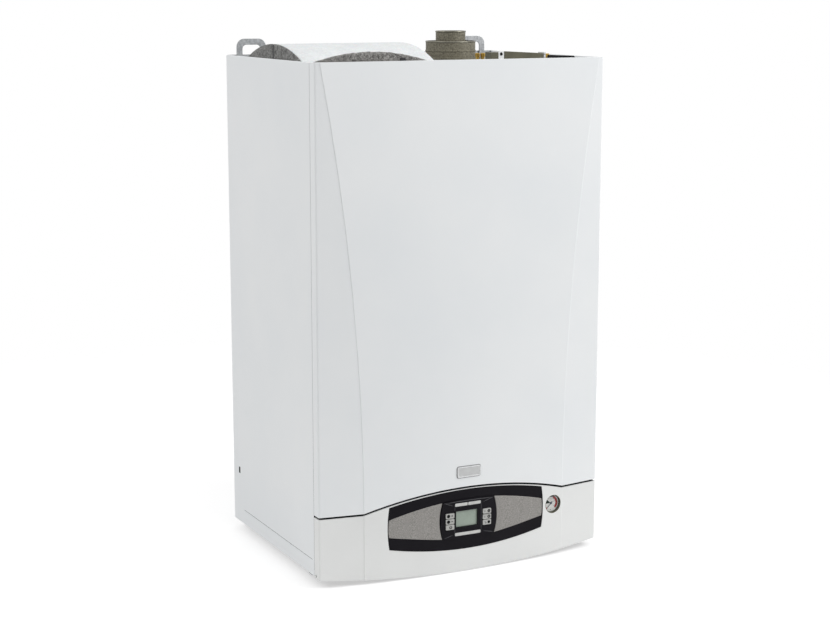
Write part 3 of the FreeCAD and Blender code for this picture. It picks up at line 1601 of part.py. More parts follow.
def valve_actuator():
    upright = FreeCAD.Vector(0, 0, 1)
    body = box(block_right, block_mid_y - size.actuator_depth / 2, spool_z - size.actuator_height / 2,
               across.actuator_width, size.actuator_depth, size.actuator_height)
    middle = float(block_right + across.actuator_width / 2)
    body = rounded(body, size.actuator_corner, upright, lambda point: point.x > middle)
    stem_end = spool_bore_x + size.spool_travel * 2 + size.spool_length + size.spool_stem_length
    bore = rod("X", size.spool_stem_radius + size.slip_clearance,
               stem_end + size.slip_clearance - block_right, block_right, block_mid_y, spool_z)
    return cut(body, bore)


def heating_pipes():
    radius, wall, bend = size.heating_radius, size.pipe_wall, size.pipe_bend
    turn_z = block_top + size.boiler_pipe_rise
    runs = [
        [(x, boiler_pipe_y, exchanger_foot_z), (x, boiler_pipe_y, turn_z), (x, block_mid_y, turn_z),
         (x, block_mid_y, block_top)]
        for x in (flow_x, back_x)
    ]
    block_back_y = block_y + size.block_depth
    flow_z = upward.block_level + size.flow_rise
    flow_y = -inward.flow_run_from_wall
    start_x = block_x + across.flow_start
    runs.append([(start_x, block_back_y, flow_z), (start_x, flow_y, flow_z), (flow_union_x, flow_y, flow_z),
                 (flow_union_x, union_y, flow_z), (flow_union_x, union_y, pipe_start_z)])
    back_z = upward.block_level + size.return_rise
    runs.append([(return_union_x, union_y, pipe_start_z), (return_union_x, union_y, back_z),
                 (return_union_x, block_back_y, back_z)])
    return [pipe(radius, wall, bend, run) for run in runs]


def water_pipes():
    radius, wall, bend = size.water_radius, size.pipe_wall, size.pipe_bend
    runs = [
        [(hot_x, water_y, tank_z), (hot_x, water_y, upward.hot_level), (hot_x, union_y, upward.hot_level),
         (hot_union_x, union_y, upward.hot_level), (hot_union_x, union_y, pipe_start_z)],
        [(cold_x, water_y, tank_z), (cold_x, water_y, upward.cold_level),
         (cold_union_x, water_y, upward.cold_level), (cold_union_x, union_y, upward.cold_level),
         (cold_union_x, union_y, pipe_start_z)],
    ]
    for x, rise in ((coil_xs[0], size.coil_feed_rise), (coil_xs[-1], size.coil_return_rise)):
        level = upward.block_level + rise
        runs.append([(x, coil_y, tank_z), (x, coil_y, level), (block_x, coil_y, level)])
    return [pipe(radius, wall, bend, run) for run in runs]


def condensate_trap():
    wall = size.trap_wall
    radius = size.trap_radius
    top = upward.trap_level + upward.trap_height
    tail = size.water_radius
    way = tail - size.pipe_wall
    low = upward.trap_level
    floor = low + size.trap_taper + wall
    points = [(way, 0), (tail, 0), (tail, low), (size.trap_neck_radius, low), (radius, low + size.trap_taper),
              (radius, top), (way, top), (way, top - wall), (radius - wall, top - wall),
              (radius - wall, floor), (way, floor)]
    cup = revolved(points, "Z", across.trap_x, drain_y, 0)
    route = [(drain_x, drain_y, exchanger_foot_z), (drain_x, drain_y, upward.drain_level),
             (across.trap_x, drain_y, upward.drain_level), (across.trap_x, drain_y, top)]
    feed = pipe(size.water_radius, size.pipe_wall, across.drain_shift / 2 - size.seat_gap, route)
    return group(cup, feed)


def union(x, thread_radius):
    """Threaded tail through the rail with a hexagon nut under it."""
    tail = rod("Z", thread_radius, pipe_start_z, x, union_y, 0)
    nut_low = upward.rail_level - size.union_nut_height
    angles = [2 * math.pi * number / NUT_SIDES for number in range(NUT_SIDES)]
    radius = size.union_nut_radius
    corners = [vector(radius * math.cos(angle), radius * math.sin(angle), 0) for angle in angles]
    face = Part.Face(Part.makePolygon(corners + corners[:1]))
    nut = feature(face.extrude(vector(0, 0, size.union_nut_height)))
    place(nut, x, union_y, nut_low)
    bore = rod("Z", size.union_bore_radius, pipe_start_z + size.overrun * 2, x, union_y, -size.overrun)
    return cut(fuse(tail, nut), bore)


def union_threads():
    heating, water = size.heating_thread_radius, size.water_thread_radius
    return list(zip(union_xs, (heating, water, water, heating, heating)))


def pipe_unions():
    return group(*[union(x, radius) for x, radius in union_threads()])


def pipe_rail():
    bar = box(-inner_x, union_y - size.rail_depth / 2, upward.rail_level, inner_x * 2, size.rail_depth,
              size.rail_height)
    holes = [
        rod("Z", radius + size.trim_clearance, size.rail_height + size.overrun * 2, x, union_y,
            upward.rail_level - size.overrun)
        for x, radius in union_threads()
    ]
    return cut(bar, *holes)


node("back_panel", back_panel())
node("left_side_panel", side_panel(-1))
node("right_side_panel", side_panel(1))
node("panel_screws", panel_screws())
node("hanging_eyes", hanging_eyes())
node("hinge_brackets", group(hinge_bracket(-1), hinge_bracket(1)))
node("front_cover", front_cover())
node("badge", badge())
node("fascia", fascia())
node("bezel", bezel())
node("silver_plates", group(silver_plate(-1), silver_plate(1)))
node("remote_shell", remote_shell())
node("remote_back", remote_back())
node("remote_board", remote_board())
node("lcd_panel", lcd_panel())
for name, x, level in button_places():
    node("button_" + name, button(x, level))
node("control_box", control_box())
node("main_board", main_board())
node("gauge_case", gauge_case())
node("gauge_dial", gauge_dial())
node("gauge_lens", gauge_lens())
node("gauge_needle", gauge_needle())
node("tank_shelf", tank_shelf())
node("insulation_jacket", insulation_jacket())
node("insulation_cap", insulation_cap())
node("side_foam_pad", side_foam_pad())
node("front_felt_pad", front_felt_pad())
node("storage_tank", storage_tank())
node("tank_coil", tank_coil())
node("chamber_box", chamber_box())
node("chamber_door", chamber_door())
node("hatch_cover", hatch_cover())
node("hatch_clips", hatch_clips())
node("test_plugs", test_plugs())
node("flue_adaptor", flue_adaptor())
node("flue_tube", flue_tube())
node("heat_exchanger", heat_exchanger())
node("burner", burner())
node("fan_housing", fan_housing())
node("fan_motor", fan_motor())
node("fan_wheel", fan_wheel())
node("gas_valve", gas_valve())
node("expansion_vessel", expansion_vessel())
node("hydraulic_block", hydraulic_block())
node("safety_knob", safety_knob())
node("filling_knob", filling_knob())
node("pump_body", pump_body())
node("pump_motor", pump_motor())
node("pump_impeller", pump_impeller())
node("valve_spool", valve_spool())
node("valve_actuator", valve_actuator())
node("pipework", group(*heating_pipes(), *water_pipes(), *gas_pipes()))
node("condensate_trap", condensate_trap())
node("pipe_unions", pipe_unions())
node("pipe_rail", pipe_rail())

doc.recompute()
faults = []
for thing in doc.Objects:
    if "Invalid" in thing.State or "Error" in thing.State:
        faults.append("%s is %s" % (thing.Label, thing.State))
for thing in nodes:
    if thing.Shape.isNull() or not thing.Shape.isValid() or not thing.Shape.Solids:
        faults.append("%s has no valid solid" % thing.Label)
if faults:
    raise RuntimeError("; ".join(faults))

os.makedirs("parts", exist_ok=True)
for thing in nodes:
    thing.Shape.exportStep("parts/%s.step" % thing.Label)
print("%d nodes written" % len(nodes))
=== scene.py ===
import json
import math

import bmesh
import bpy
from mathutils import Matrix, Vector, noise
from mathutils.bvhtree import BVHTree

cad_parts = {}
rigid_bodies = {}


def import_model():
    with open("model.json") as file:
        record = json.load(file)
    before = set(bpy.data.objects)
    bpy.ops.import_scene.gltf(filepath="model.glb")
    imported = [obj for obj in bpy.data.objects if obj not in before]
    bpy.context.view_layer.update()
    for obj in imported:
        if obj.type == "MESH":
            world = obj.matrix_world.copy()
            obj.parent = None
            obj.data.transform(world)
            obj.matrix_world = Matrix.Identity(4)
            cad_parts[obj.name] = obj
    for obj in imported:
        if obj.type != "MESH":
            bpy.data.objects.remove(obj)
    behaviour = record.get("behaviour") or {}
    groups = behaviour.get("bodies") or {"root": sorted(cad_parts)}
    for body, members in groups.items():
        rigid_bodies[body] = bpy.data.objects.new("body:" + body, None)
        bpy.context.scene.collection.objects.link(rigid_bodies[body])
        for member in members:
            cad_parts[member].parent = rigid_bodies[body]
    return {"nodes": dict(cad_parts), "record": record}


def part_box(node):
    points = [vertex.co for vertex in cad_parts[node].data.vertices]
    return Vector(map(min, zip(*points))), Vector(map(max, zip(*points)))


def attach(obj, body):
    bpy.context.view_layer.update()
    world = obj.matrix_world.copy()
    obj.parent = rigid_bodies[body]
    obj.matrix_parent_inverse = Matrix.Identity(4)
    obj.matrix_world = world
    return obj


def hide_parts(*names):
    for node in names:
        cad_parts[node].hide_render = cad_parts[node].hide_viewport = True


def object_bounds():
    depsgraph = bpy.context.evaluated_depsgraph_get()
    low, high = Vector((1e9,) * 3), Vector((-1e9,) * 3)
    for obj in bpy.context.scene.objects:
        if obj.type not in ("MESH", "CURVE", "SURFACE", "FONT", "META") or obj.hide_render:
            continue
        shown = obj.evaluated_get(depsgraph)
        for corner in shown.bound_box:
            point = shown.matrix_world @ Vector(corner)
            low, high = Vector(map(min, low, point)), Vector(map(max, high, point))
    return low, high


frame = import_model()
cad_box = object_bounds()
nodes = frame["nodes"]
scene = bpy.context.scene
shown = scene.collection.objects
MM = 0.001


# Colours and materials

WHITE = (255, 255, 255)
BLACK = (0, 0, 0)
# A noise texture seldom leaves this part of its range
NOISE_LOW, NOISE_HIGH = 0.3, 0.7
FLECK_SCALE_SHARE = 0.9


def linear(red, green, blue):
    """A screen colour from 0 to 255 as the linear colour that a shader takes."""
    shares = [channel / 255 for channel in (red, green, blue)]
    return [s / 12.92 if s < 0.04045 else ((s + 0.055) / 1.055) ** 2.4 for s in shares] + [1.0]


def set_sockets(node, values):
    """Constants for a node's sockets, named with underscores for spaces."""
    for socket, value in values.items():
        node.inputs[socket.replace("_", " ")].default_value = value


class Surface:
    """A principled material with colour, roughness and relief from textures in the piece's own metres."""

    def __init__(self, name, **sockets):
        self.material = bpy.data.materials.new(name)
        self.material.use_nodes = True
        self.tree = self.material.node_tree
        self.shader = self.tree.nodes["Principled BSDF"]
        self.place = self.tree.nodes.new("ShaderNodeTexCoord").outputs["Object"]
        set_sockets(self.shader, sockets)

    def link(self, source, target):
        self.tree.links.new(source, target)

    def node(self, kind, **sockets):
        made = self.tree.nodes.new(kind)
        set_sockets(made, sockets)
        return made

    def grain(self, scale, detail=3, stretch=(1, 1, 1), distortion=0.0):
        mapping = self.node("ShaderNodeMapping", Scale=stretch)
        texture = self.node("ShaderNodeTexNoise", Scale=scale, Detail=detail, Distortion=distortion)
        self.link(self.place, mapping.inputs["Vector"])
        self.link(mapping.outputs["Vector"], texture.inputs["Vector"])
        return texture.outputs["Fac"]

    def cells(self, scale, output="Distance", feature="F1"):
        texture = self.node("ShaderNodeTexVoronoi", Scale=scale)
        texture.feature = feature
        self.link(self.place, texture.inputs["Vector"])
        return texture.outputs[output]

    def bands(self, scale, axis):
        texture = self.node("ShaderNodeTexWave", Scale=scale)
        texture.bands_direction = axis
        self.link(self.place, texture.inputs["Vector"])
        return texture.outputs["Fac"]

    def grid(self, scale):
        """Upright and level bands laid over each other."""
        return self.mixed(self.bands(scale, "X"), self.bands(scale, "Z"), "MULTIPLY", share=0.5)

    def ramp(self, source, first, last, start=NOISE_LOW, end=NOISE_HIGH):
        """The colours from first to last as a source goes from start to end."""
        node = self.node("ShaderNodeValToRGB")
        for element, position, colour in zip(node.color_ramp.elements, (start, end), (first, last)):
            element.position = position
            element.color = linear(*colour)
        self.link(source, node.inputs["Fac"])
        return node.outputs["Color"]

    def span(self, source, low, high, start=NOISE_LOW, end=NOISE_HIGH):
        """The values from low to high as a source goes from start to end."""
        node = self.node("ShaderNodeMapRange", From_Min=start, From_Max=end, To_Min=low, To_Max=high)
        self.link(source, node.inputs["Value"])
        return node.outputs["Result"]

    def mixed(self, first, second, blend, share=1.0):
        node = self.node("ShaderNodeMix", Factor=share)
        node.data_type = "RGBA"
        node.blend_type = blend
        colour_inputs = [i for i in node.inputs if i.type == "RGBA"]
        self.link(first, colour_inputs[0])
        self.link(second, colour_inputs[1])
        return [o for o in node.outputs if o.type == "RGBA"][0]

    def colour(self, source):
        self.link(source, self.shader.inputs["Base Color"])

    def rough(self, source, low, high):
        self.link(self.span(source, low, high), self.shader.inputs["Roughness"])

    def bump(self, source, strength, distance):
        node = self.node("ShaderNodeBump", Strength=strength, Distance=distance)
        self.link(source, node.inputs["Height"])
        self.link(node.outputs["Normal"], self.shader.inputs["Normal"])


def coat(name, low, high, blotch, grain, rough, relief, depth, **sockets):
    """Paint or moulded plastic: slow blotches of tone, and a fine grain in gloss and relief.

    The blotches and the grain are texture scales, and the relief's depth is in millimetres.
    """
    made = Surface(name, **sockets)
    skin_grain = made.grain(grain, detail=2)
    made.colour(made.ramp(made.grain(blotch, detail=4), low, high))
    made.rough(skin_grain, *rough)
    made.bump(skin_grain, relief, depth * MM)
    return made


def metal(name, low, high, grain, stretch, rough, relief, depth):
    """Bare metal: grain drawn out along the stretch, and slow stains in tone and gloss."""
    made = Surface(name, Metallic=1.0)
    drawn = made.grain(grain, detail=5, stretch=stretch)
    stain = made.grain(scale=18, detail=6, distortion=0.6)
    worn = made.ramp(stain, (150, 150, 150), WHITE, start=0.35, end=0.65)
    made.colour(made.mixed(made.ramp(drawn, low, high), worn, "MULTIPLY", share=0.6))
    made.rough(stain, *rough)
    made.bump(drawn, relief, depth * MM)
    return made


def spangled(name, low, high, rough):
    """Zinc-dipped sheet: crystals a few millimetres across, each with its own tone."""
    made = Surface(name, Metallic=0.85)
    crystal = made.cells(scale=260, output="Color")
    made.colour(made.ramp(crystal, low, high, start=0.0, end=1.0))
    made.rough(crystal, *rough)
    made.bump(made.grain(scale=900), strength=0.12, distance=0.1 * MM)
    return made


def beaded(name, low, high):
    """Moulded bead foam: round beads pressed together, darker in the joints."""
    made = Surface(name, Roughness=0.85, Subsurface_Weight=0.05)
    bead = made.cells(scale=260)
    base = made.ramp(bead, high, low, start=0.15, end=0.62)
    cloud = made.ramp(made.grain(scale=30, detail=4), (244, 244, 244), WHITE)
    made.colour(made.mixed(base, cloud, "MULTIPLY"))
    made.bump(made.span(bead, low=1.0, high=0.0, start=0.0, end=0.7), strength=0.5, distance=0.8 * MM)
    return made


def fibrous(name, low, high, fleck, scale):
    """Felt or open foam: tangled fibres or pores with pale flecks."""
    made = Surface(name, Roughness=0.95, Specular_IOR_Level=0.2, Sheen_Weight=0.05, Sheen_Roughness=0.6)
    tangle = made.grain(scale, detail=8, distortion=1.5)
    base = made.ramp(tangle, low, high, start=0.35, end=0.68)
    flecks = made.ramp(made.cells(FLECK_SCALE_SHARE * scale), fleck, BLACK, start=0.05, end=0.16)
    made.colour(made.mixed(base, flecks, "LIGHTEN"))
    made.bump(tangle, strength=0.9, distance=1.2 * MM)
    return made


def printed(name, low, high, **sockets):
    """Ink or moulded marks: almost even, with a trace of paper grain."""
    fine = {"blotch": 300, "grain": 2500, "rough": (0.35, 0.5), "relief": 0.05, "depth": 0.02}
    return coat(name, low, high, **fine, **sockets)


def display(name):
    """A blank liquid-crystal screen: grey-green, with a fine grid of cells under gloss."""
    made = Surface(name, Coat_Weight=0.5, Coat_Roughness=0.06)
    cell = made.ramp(made.grid(scale=620), (142, 155, 143), (153, 166, 153), start=0.0, end=0.6)
    shade = made.ramp(made.grain(scale=40, detail=2), (240, 240, 240), WHITE)
    made.colour(made.mixed(cell, shade, "MULTIPLY"))
    made.rough(made.grain(scale=900), low=0.22, high=0.32)
    return made


def laminate(name):
    """A circuit board: solder mask over the weave of the laminate, with copper runs."""
    made = Surface(name, Coat_Weight=0.2)
    run = made.cells(scale=150, feature="DISTANCE_TO_EDGE")
    mask = made.ramp(made.grid(scale=180), (20, 84, 48), (30, 104, 60), start=0.0, end=1.0)
    tracks = made.ramp(run, (70, 150, 90), BLACK, start=0.02, end=0.06)
    made.colour(made.mixed(mask, tracks, "LIGHTEN"))
    made.rough(run, low=0.3, high=0.5)
    made.bump(run, strength=0.2, distance=0.1 * MM)
    return made


def clear(name):
    """A thin clear window: faint ripple, light goes straight through."""
    made = Surface(name, Alpha=0.015, Roughness=0.04, Specular_IOR_Level=0.05)
    made.colour(made.ramp(made.grain(scale=60), (235, 240, 240), (250, 252, 252)))
    made.bump(made.grain(scale=120, detail=1), strength=0.02, distance=0.05 * MM)
    return made


# One finish for each of the record's slots

finishes = {
    "white_paint": coat(
        "powder_coat", (234, 237, 239), (239, 241, 242), blotch=5, grain=900,
        rough=(0.36, 0.46), relief=0.1, depth=0.06,
    ),
    "white_plastic": coat(
        "white_moulding", (230, 231, 230), (235, 236, 235), blotch=7, grain=1400,
        rough=(0.38, 0.5), relief=0.08, depth=0.04,
    ),
    "badge_silver": coat(
        "badge_satin", (184, 185, 185), (194, 195, 195), blotch=120, grain=1800,
        rough=(0.28, 0.4), relief=0.1, depth=0.02, Metallic=0.5,
    ),
    "black_plastic": coat(
        "black_moulding", (14, 12, 17), (20, 18, 23), blotch=20, grain=1900,
        rough=(0.45, 0.6), relief=0.25, depth=0.06, Specular_IOR_Level=0.1,
    ),
    "silver_trim": coat(
        "silver_lacquer", (116, 114, 111), (160, 157, 153), blotch=620, grain=2200,
        rough=(0.36, 0.5), relief=0.12, depth=0.03, Metallic=0.35,
    ),
    "display_glass": display("screen"),
    "grey_key": coat(
        "key_rubber", (170, 170, 167), (188, 188, 185), blotch=60, grain=2600,
        rough=(0.5, 0.65), relief=0.15, depth=0.03,
    ),
    "circuit_board": laminate("circuit_laminate"),
    "grey_plastic": coat(
        "grey_moulding", (80, 80, 68), (94, 94, 80), blotch=40, grain=1500,
        rough=(0.4, 0.55), relief=0.15, depth=0.05,
    ),
    "dial_face": printed("dial_card", (222, 222, 219), (230, 230, 227)),
    "clear_lens": clear("window"),
    "needle_black": printed("needle_lacquer", (46, 54, 70), (60, 68, 84)),
    "zinc_steel": spangled("zinc_sheet", (142, 144, 146), (170, 172, 174), rough=(0.36, 0.5)),
    "white_foam": beaded("bead_foam", (224, 227, 228), (236, 239, 239)),
    "dark_foam": fibrous("open_foam", (76, 76, 75), (160, 160, 158), fleck=(180, 180, 178), scale=210),
    "grey_felt": fibrous("felt", (78, 76, 74), (172, 170, 167), fleck=(190, 188, 184), scale=230),
    "tank_steel": metal(
        "tank_sheet", (150, 152, 154), (190, 192, 194), grain=300, stretch=(1, 1, 0.05),
        rough=(0.25, 0.4), relief=0.08, depth=0.05,
    ),
    "copper": metal(
        "copper_tube", (176, 98, 66), (206, 128, 92), grain=160, stretch=(1, 1, 0.2),
        rough=(0.25, 0.45), relief=0.06, depth=0.05,
    ),
    "brass": metal(
        "brass_stock", (188, 150, 66), (218, 184, 104), grain=260, stretch=(1, 1, 0.3),
        rough=(0.22, 0.4), relief=0.08, depth=0.05,
    ),
    "flue_metal": coat(
        "flue_cast", (86, 82, 68), (136, 131, 114), blotch=330, grain=900,
        rough=(0.5, 0.65), relief=0.5, depth=0.2, Metallic=0.25,
    ),
    "cast_alloy": metal(
        "sand_cast", (142, 144, 146), (178, 180, 182), grain=500, stretch=(1, 1, 1),
        rough=(0.45, 0.65), relief=0.5, depth=0.25,
    ),
    "olive_plastic": coat(
        "olive_moulding", (78, 76, 58), (96, 93, 73), blotch=40, grain=1200,
        rough=(0.4, 0.55), relief=0.2, depth=0.06,
    ),
    "clip_white": coat(
        "clip_moulding", (224, 226, 226), (238, 239, 239), blotch=60, grain=1500,
        rough=(0.35, 0.5), relief=0.1, depth=0.04,
    ),
    "vessel_paint": coat(
        "vessel_red", (150, 26, 22), (172, 36, 30), blotch=12, grain=600,
        rough=(0.3, 0.42), relief=0.15, depth=0.08,
    ),
    "pump_grey": coat(
        "pump_cataphoresis", (52, 56, 58), (66, 70, 72), blotch=20, grain=800,
        rough=(0.35, 0.5), relief=0.25, depth=0.1,
    ),
    "knob_black": coat(
        "knob_moulding", (26, 26, 28), (36, 36, 38), blotch=30, grain=1600,
        rough=(0.42, 0.58), relief=0.25, depth=0.06,
    ),
    "knob_blue": coat(
        "knob_blue_moulding", (28, 66, 132), (40, 82, 150), blotch=30, grain=1600,
        rough=(0.4, 0.55), relief=0.2, depth=0.06,
    ),
}

for entry in frame["record"]["subparts"]:
    mesh = nodes[entry["node"]].data
    mesh.materials.clear()
    mesh.materials.append(finishes[entry["material_slot"]].material)

# Finishes of the scene's own pieces

light_strip = coat(
    "strip_moulding", (194, 194, 192), (208, 208, 206), blotch=60, grain=2200,
    rough=(0.35, 0.5), relief=0.1, depth=0.03,
)
# Ridges lighter than the black shell: the lighter colour is a painted highlight, the low roughness is real
# gloss
painted_ridge_highlight = coat(
    "ridge_painted_highlight", (70, 70, 74), (86, 86, 90), blotch=80, grain=1200,
    rough=(0.2, 0.3), relief=0.05, depth=0.02,
)
ink = printed("ink", (8, 8, 10), (14, 14, 16), Specular_IOR_Level=0.1)
red_ink = printed("red_ink", (140, 14, 14), (158, 22, 20))
dark_green = printed("green_black_ink", (6, 22, 17), (12, 32, 26), Specular_IOR_Level=0.1)
# Black for strips and fills in gaps, joints, slots and holes: painted shade where only shadow would be
painted_gap_shade = coat(
    "gap_shade_black", (14, 14, 15), (22, 22, 23), blotch=60, grain=1200,
    rough=(0.7, 0.85), relief=0.2, depth=0.05, Specular_IOR_Level=0.15,
)
# Grey ring round the badge: painted shade along its edge
badge_shade_grey = coat(
    "badge_painted_shade", (128, 129, 130), (142, 143, 144), blotch=120, grain=1200,
    rough=(0.4, 0.55), relief=0.1, depth=0.03,
)
# Badge rim: real polish, and lighter than the field as a painted highlight
rim_polish_and_highlight = coat(
    "badge_rim_polish_and_painted_highlight", (214, 215, 216), (224, 225, 226), blotch=120, grain=1200,
    rough=(0.16, 0.26), relief=0.05, depth=0.02, Metallic=0.5,
)
# Flue rims: bare metal, and lighter than the flue as a painted highlight
flue_rim_metal_and_highlight = metal(
    "flue_rim_painted_highlight", (138, 135, 122), (160, 157, 145), grain=300, stretch=(1, 1, 1),
    rough=(0.3, 0.42), relief=0.1, depth=0.05,
)
# Grey lines in the side panels' grooves: painted shade
grey_line = coat(
    "joint_shadow", (120, 122, 124), (134, 136, 138), blotch=60, grain=1200,
    rough=(0.6, 0.75), relief=0.1, depth=0.05,
)


# Mesh helpers

SOFT_ANGLE = 40.0
PAD_SOFT_ANGLE = 60.0
AHEAD_OF_PART = -1.0
LEAST_CORNER_SHARE = 0.25
FULL_TURN = 360
# A ridge's ends keep this share of its section, and the full section is reached at this rate
RIDGE_END_SHARE, RIDGE_TAPER_RATE = 0.25, 4.0
# Shoulders of a ridge's section: shares of its half width and of its lift
SHOULDER_OUT, SHOULDER_UP = 0.7, 0.6


def add_piece(name, points, faces, body, slot, finish=None, soft_angle=SOFT_ANGLE):
    """One closed mesh in the part's frame that rides on a body, with its slot's finish or one of its own."""
    mesh = bpy.data.meshes.new(name)
    mesh.from_pydata(points, [], faces)
    shape = bmesh.new()
    shape.from_mesh(mesh)
    bmesh.ops.recalc_face_normals(shape, faces=shape.faces)
    shape.to_mesh(mesh)
    shape.free()
    mesh.materials.append((finish or finishes[slot]).material)
    mesh.shade_smooth()
    mesh.set_sharp_from_angle(angle=math.radians(soft_angle))
    piece = bpy.data.objects.new(name, mesh)
    shown.link(piece)
    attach(piece, body)
    return piece


def skin(loops, closed=False):
    """Points and faces of a skin through loops of equal length.

    Its two ends are filled, or joined to each other where it is closed.
    """
    count = len(loops[0])
    points = [point for loop in loops for point in loop]
    faces = []
    steps = len(loops) if closed else len(loops) - 1
    for i in range(steps):
        here = i * count
        there = (i + 1) % len(loops) * count
        for j in range(count):
            k = (j + 1) % count
            faces.append((here + j, here + k, there + k, there + j))
    if not closed:
        for base in (0, (len(loops) - 1) * count):
            for j in range(count // 2 - 1):
                faces.append((base + j, base + j + 1, base + count - 2 - j, base + count - 1 - j))
    return points, faces


def joined(parts):
    """The points and faces of several skins as one mesh."""
    points, faces = [], []
    for more_points, more_faces in parts:
        base = len(points)
        points += more_points
        faces += [tuple(base + i for i in face) for face in more_faces]
    return points, faces


def facing(name):
    """Where a line along +Y first meets a CAD node, as a function of x and z."""
    mesh = nodes[name].data
    tree = BVHTree.FromPolygons([v.co for v in mesh.vertices], [p.vertices for p in mesh.polygons])

    def front(x, z):
        return tree.ray_cast(Vector((x, AHEAD_OF_PART, z)), Vector((0.0, 1.0, 0.0)))[0].y

    return front


def face_of(low, high):
    """Middle and size of a box seen from the front, each in x and z."""
    return ((low.x + high.x) / 2, (low.z + high.z) / 2), (high.x - low.x, high.z - low.z)


def grown(size, margin):
    """A width and a height with a margin added on every side."""
    return size[0] + 2 * margin, size[1] + 2 * margin


def turned(centre, radius, degrees):
    """The point at a radius and a clock angle from a centre, clockwise from the top seen from the front."""
    angle = math.radians(degrees)
    return centre[0] + radius * math.sin(angle), centre[1] + radius * math.cos(angle)


def spaced(start, end, steps):
    """Evenly spaced values from start to end, with both of them."""
    return [start + (end - start) * i / steps for i in range(steps + 1)]


def circle(count):
    """Equal steps round a circle of radius one."""
    turns = [2 * math.pi * i / count for i in range(count)]
    return [(math.cos(turn), math.sin(turn)) for turn in turns]


def rounded_outline(centre, size, radius, corner_steps=6, side_steps=10):
    """A rounded rectangle in two coordinates, from its left end over the top to the right and back."""
    half_width, half_height = size[0] / 2, size[1] / 2
    over = []
    for turn in spaced(0.0, math.pi / 2, corner_steps):
        x = -half_width + radius - radius * math.cos(turn)
        over.append((x, half_height - radius + radius * math.sin(turn)))
    start = over[-1][0]
    over += [(x, half_height) for x in spaced(start, -start, side_steps)[1:-1]]
    over += [(-x, z) for x, z in reversed(over[: corner_steps + 1])]
    whole = over + [(x, -z) for x, z in reversed(over)]
    return [(centre[0] + x, centre[1] + z) for x, z in whole]


def lifted(outline, front, lift):
    """An outline laid on a front, that far proud of it."""
    return [(x, front(x, z) - lift, z) for x, z in outline]


def raised_edge(front, centre, size, radius, lift, edge, sink):
    """Three loops up the side of a raised form: sunk in its seat, below its softened edge, and on top."""
    whole = rounded_outline(centre, size, radius)
    inner = rounded_outline(centre, grown(size, -edge), max(radius - edge, LEAST_CORNER_SHARE * radius))
    softening = abs(edge)
    return [lifted(whole, front, -sink), lifted(whole, front, lift - softening), lifted(inner, front, lift)]


def pad_on(front, centre, size, radius, lift, edge, sink):
    """A raised rounded bar on a front, with a softened rim, sunk a little into what carries it."""
    return skin(raised_edge(front, centre, size, radius, lift, edge, sink))


def frame_on(front, centre, outer, inner, radii, lift, edge, sink):
    """A raised rounded frame on a front; outer and inner are widths and heights."""
    outside = raised_edge(front, centre, outer, radii[0], lift, edge, sink)
    inside = raised_edge(front, centre, inner, radii[1], lift, -edge, sink)
    return skin(outside + inside[::-1], closed=True)


def ridge_on(front, path, width, lift, sink, steps=14):
    """A half-round bead along a path of corners on a front, tapered to its two ends."""
    line = []
    for (x0, z0), (x1, z1) in zip(path, path[1:]):
        line += [(x0 + (x1 - x0) * i / steps, z0 + (z1 - z0) * i / steps) for i in range(steps)]
    line.append(path[-1])
    last = len(line) - 1
    loops = []
    for i, (x, z) in enumerate(line):
        before, after = line[max(i - 1, 0)], line[min(i + 1, last)]
        along = Vector((after[0] - before[0], after[1] - before[1])).normalized()
        taper = min(1.0, RIDGE_END_SHARE + RIDGE_TAPER_RATE * min(i, last - i) / len(line))
        crown = lift * taper
        shoulder = SHOULDER_UP * crown
        section = [(-1.0, -sink), (-SHOULDER_OUT, shoulder), (0.0, crown), (SHOULDER_OUT, shoulder)]
        section += [(1.0, -sink), (0.0, -2 * sink)]
        loop = []
        for side, rise in section:
            across = side * width / 2 * taper
            px, pz = x - along.y * across, z + along.x * across
            loop.append((px, front(px, pz) - rise, pz))
        loops.append(loop)
    return skin(loops)


def sector_on(front, centre, inner, outer, start, end, lift, sink, steps=40):
    """A flat band round a centre between two clock angles in degrees, closed where it goes all the way."""
    whole = end - start >= FULL_TURN
    turns = spaced(start, end, steps)
    if whole:
        turns.pop()
    loops = []
    for turn in turns:
        loop = []
        for radius, rise in ((inner, -sink), (inner, lift), (outer, lift), (outer, -sink)):
            x, z = turned(centre, radius, turn)
            loop.append((x, front(x, z) - rise, z))
        loops.append(loop)
    return skin(loops, closed=whole)


def block_on(front, centre, width, height, lift, sink, turn=0.0):
    """A small flat bar on a front, turned clockwise by degrees."""
    angle = math.radians(turn)
    outline = []
    for side, top in ((-1, 1), (1, 1), (1, -1), (-1, -1)):
        x, z = side * width / 2, top * height / 2
        outline.append((
            centre[0] + x * math.cos(angle) + z * math.sin(angle),
            centre[1] - x * math.sin(angle) + z * math.cos(angle),
        ))
    return skin([lifted(outline, front, -sink), lifted(outline, front, lift)])


# Control unit: a band round the screen, two rows of bare label strips, and glossy ridges made lighter than
# the shell as a painted highlight

SINK = 0.3 * MM
SCREEN_LAP = 2 * MM
SURROUND_BAND = 3.5 * MM
SURROUND_CLEARANCE = 0.3 * MM
SURROUND_CORNERS = (2.4 * MM, 0.8 * MM)
SURROUND_LIFT = 0.5 * MM
SURROUND_EDGE = 0.25 * MM
unit_front = facing("remote_shell")
screen_centre, screen_size = face_of(*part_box("lcd_panel"))
opening = grown(screen_size, -SCREEN_LAP)
surround = frame_on(
    unit_front, screen_centre, grown(opening, SURROUND_BAND), grown(opening, SURROUND_CLEARANCE),
    SURROUND_CORNERS, SURROUND_LIFT, SURROUND_EDGE, SINK,
)
add_piece("screen_surround", *surround, "control_unit", "black_plastic")

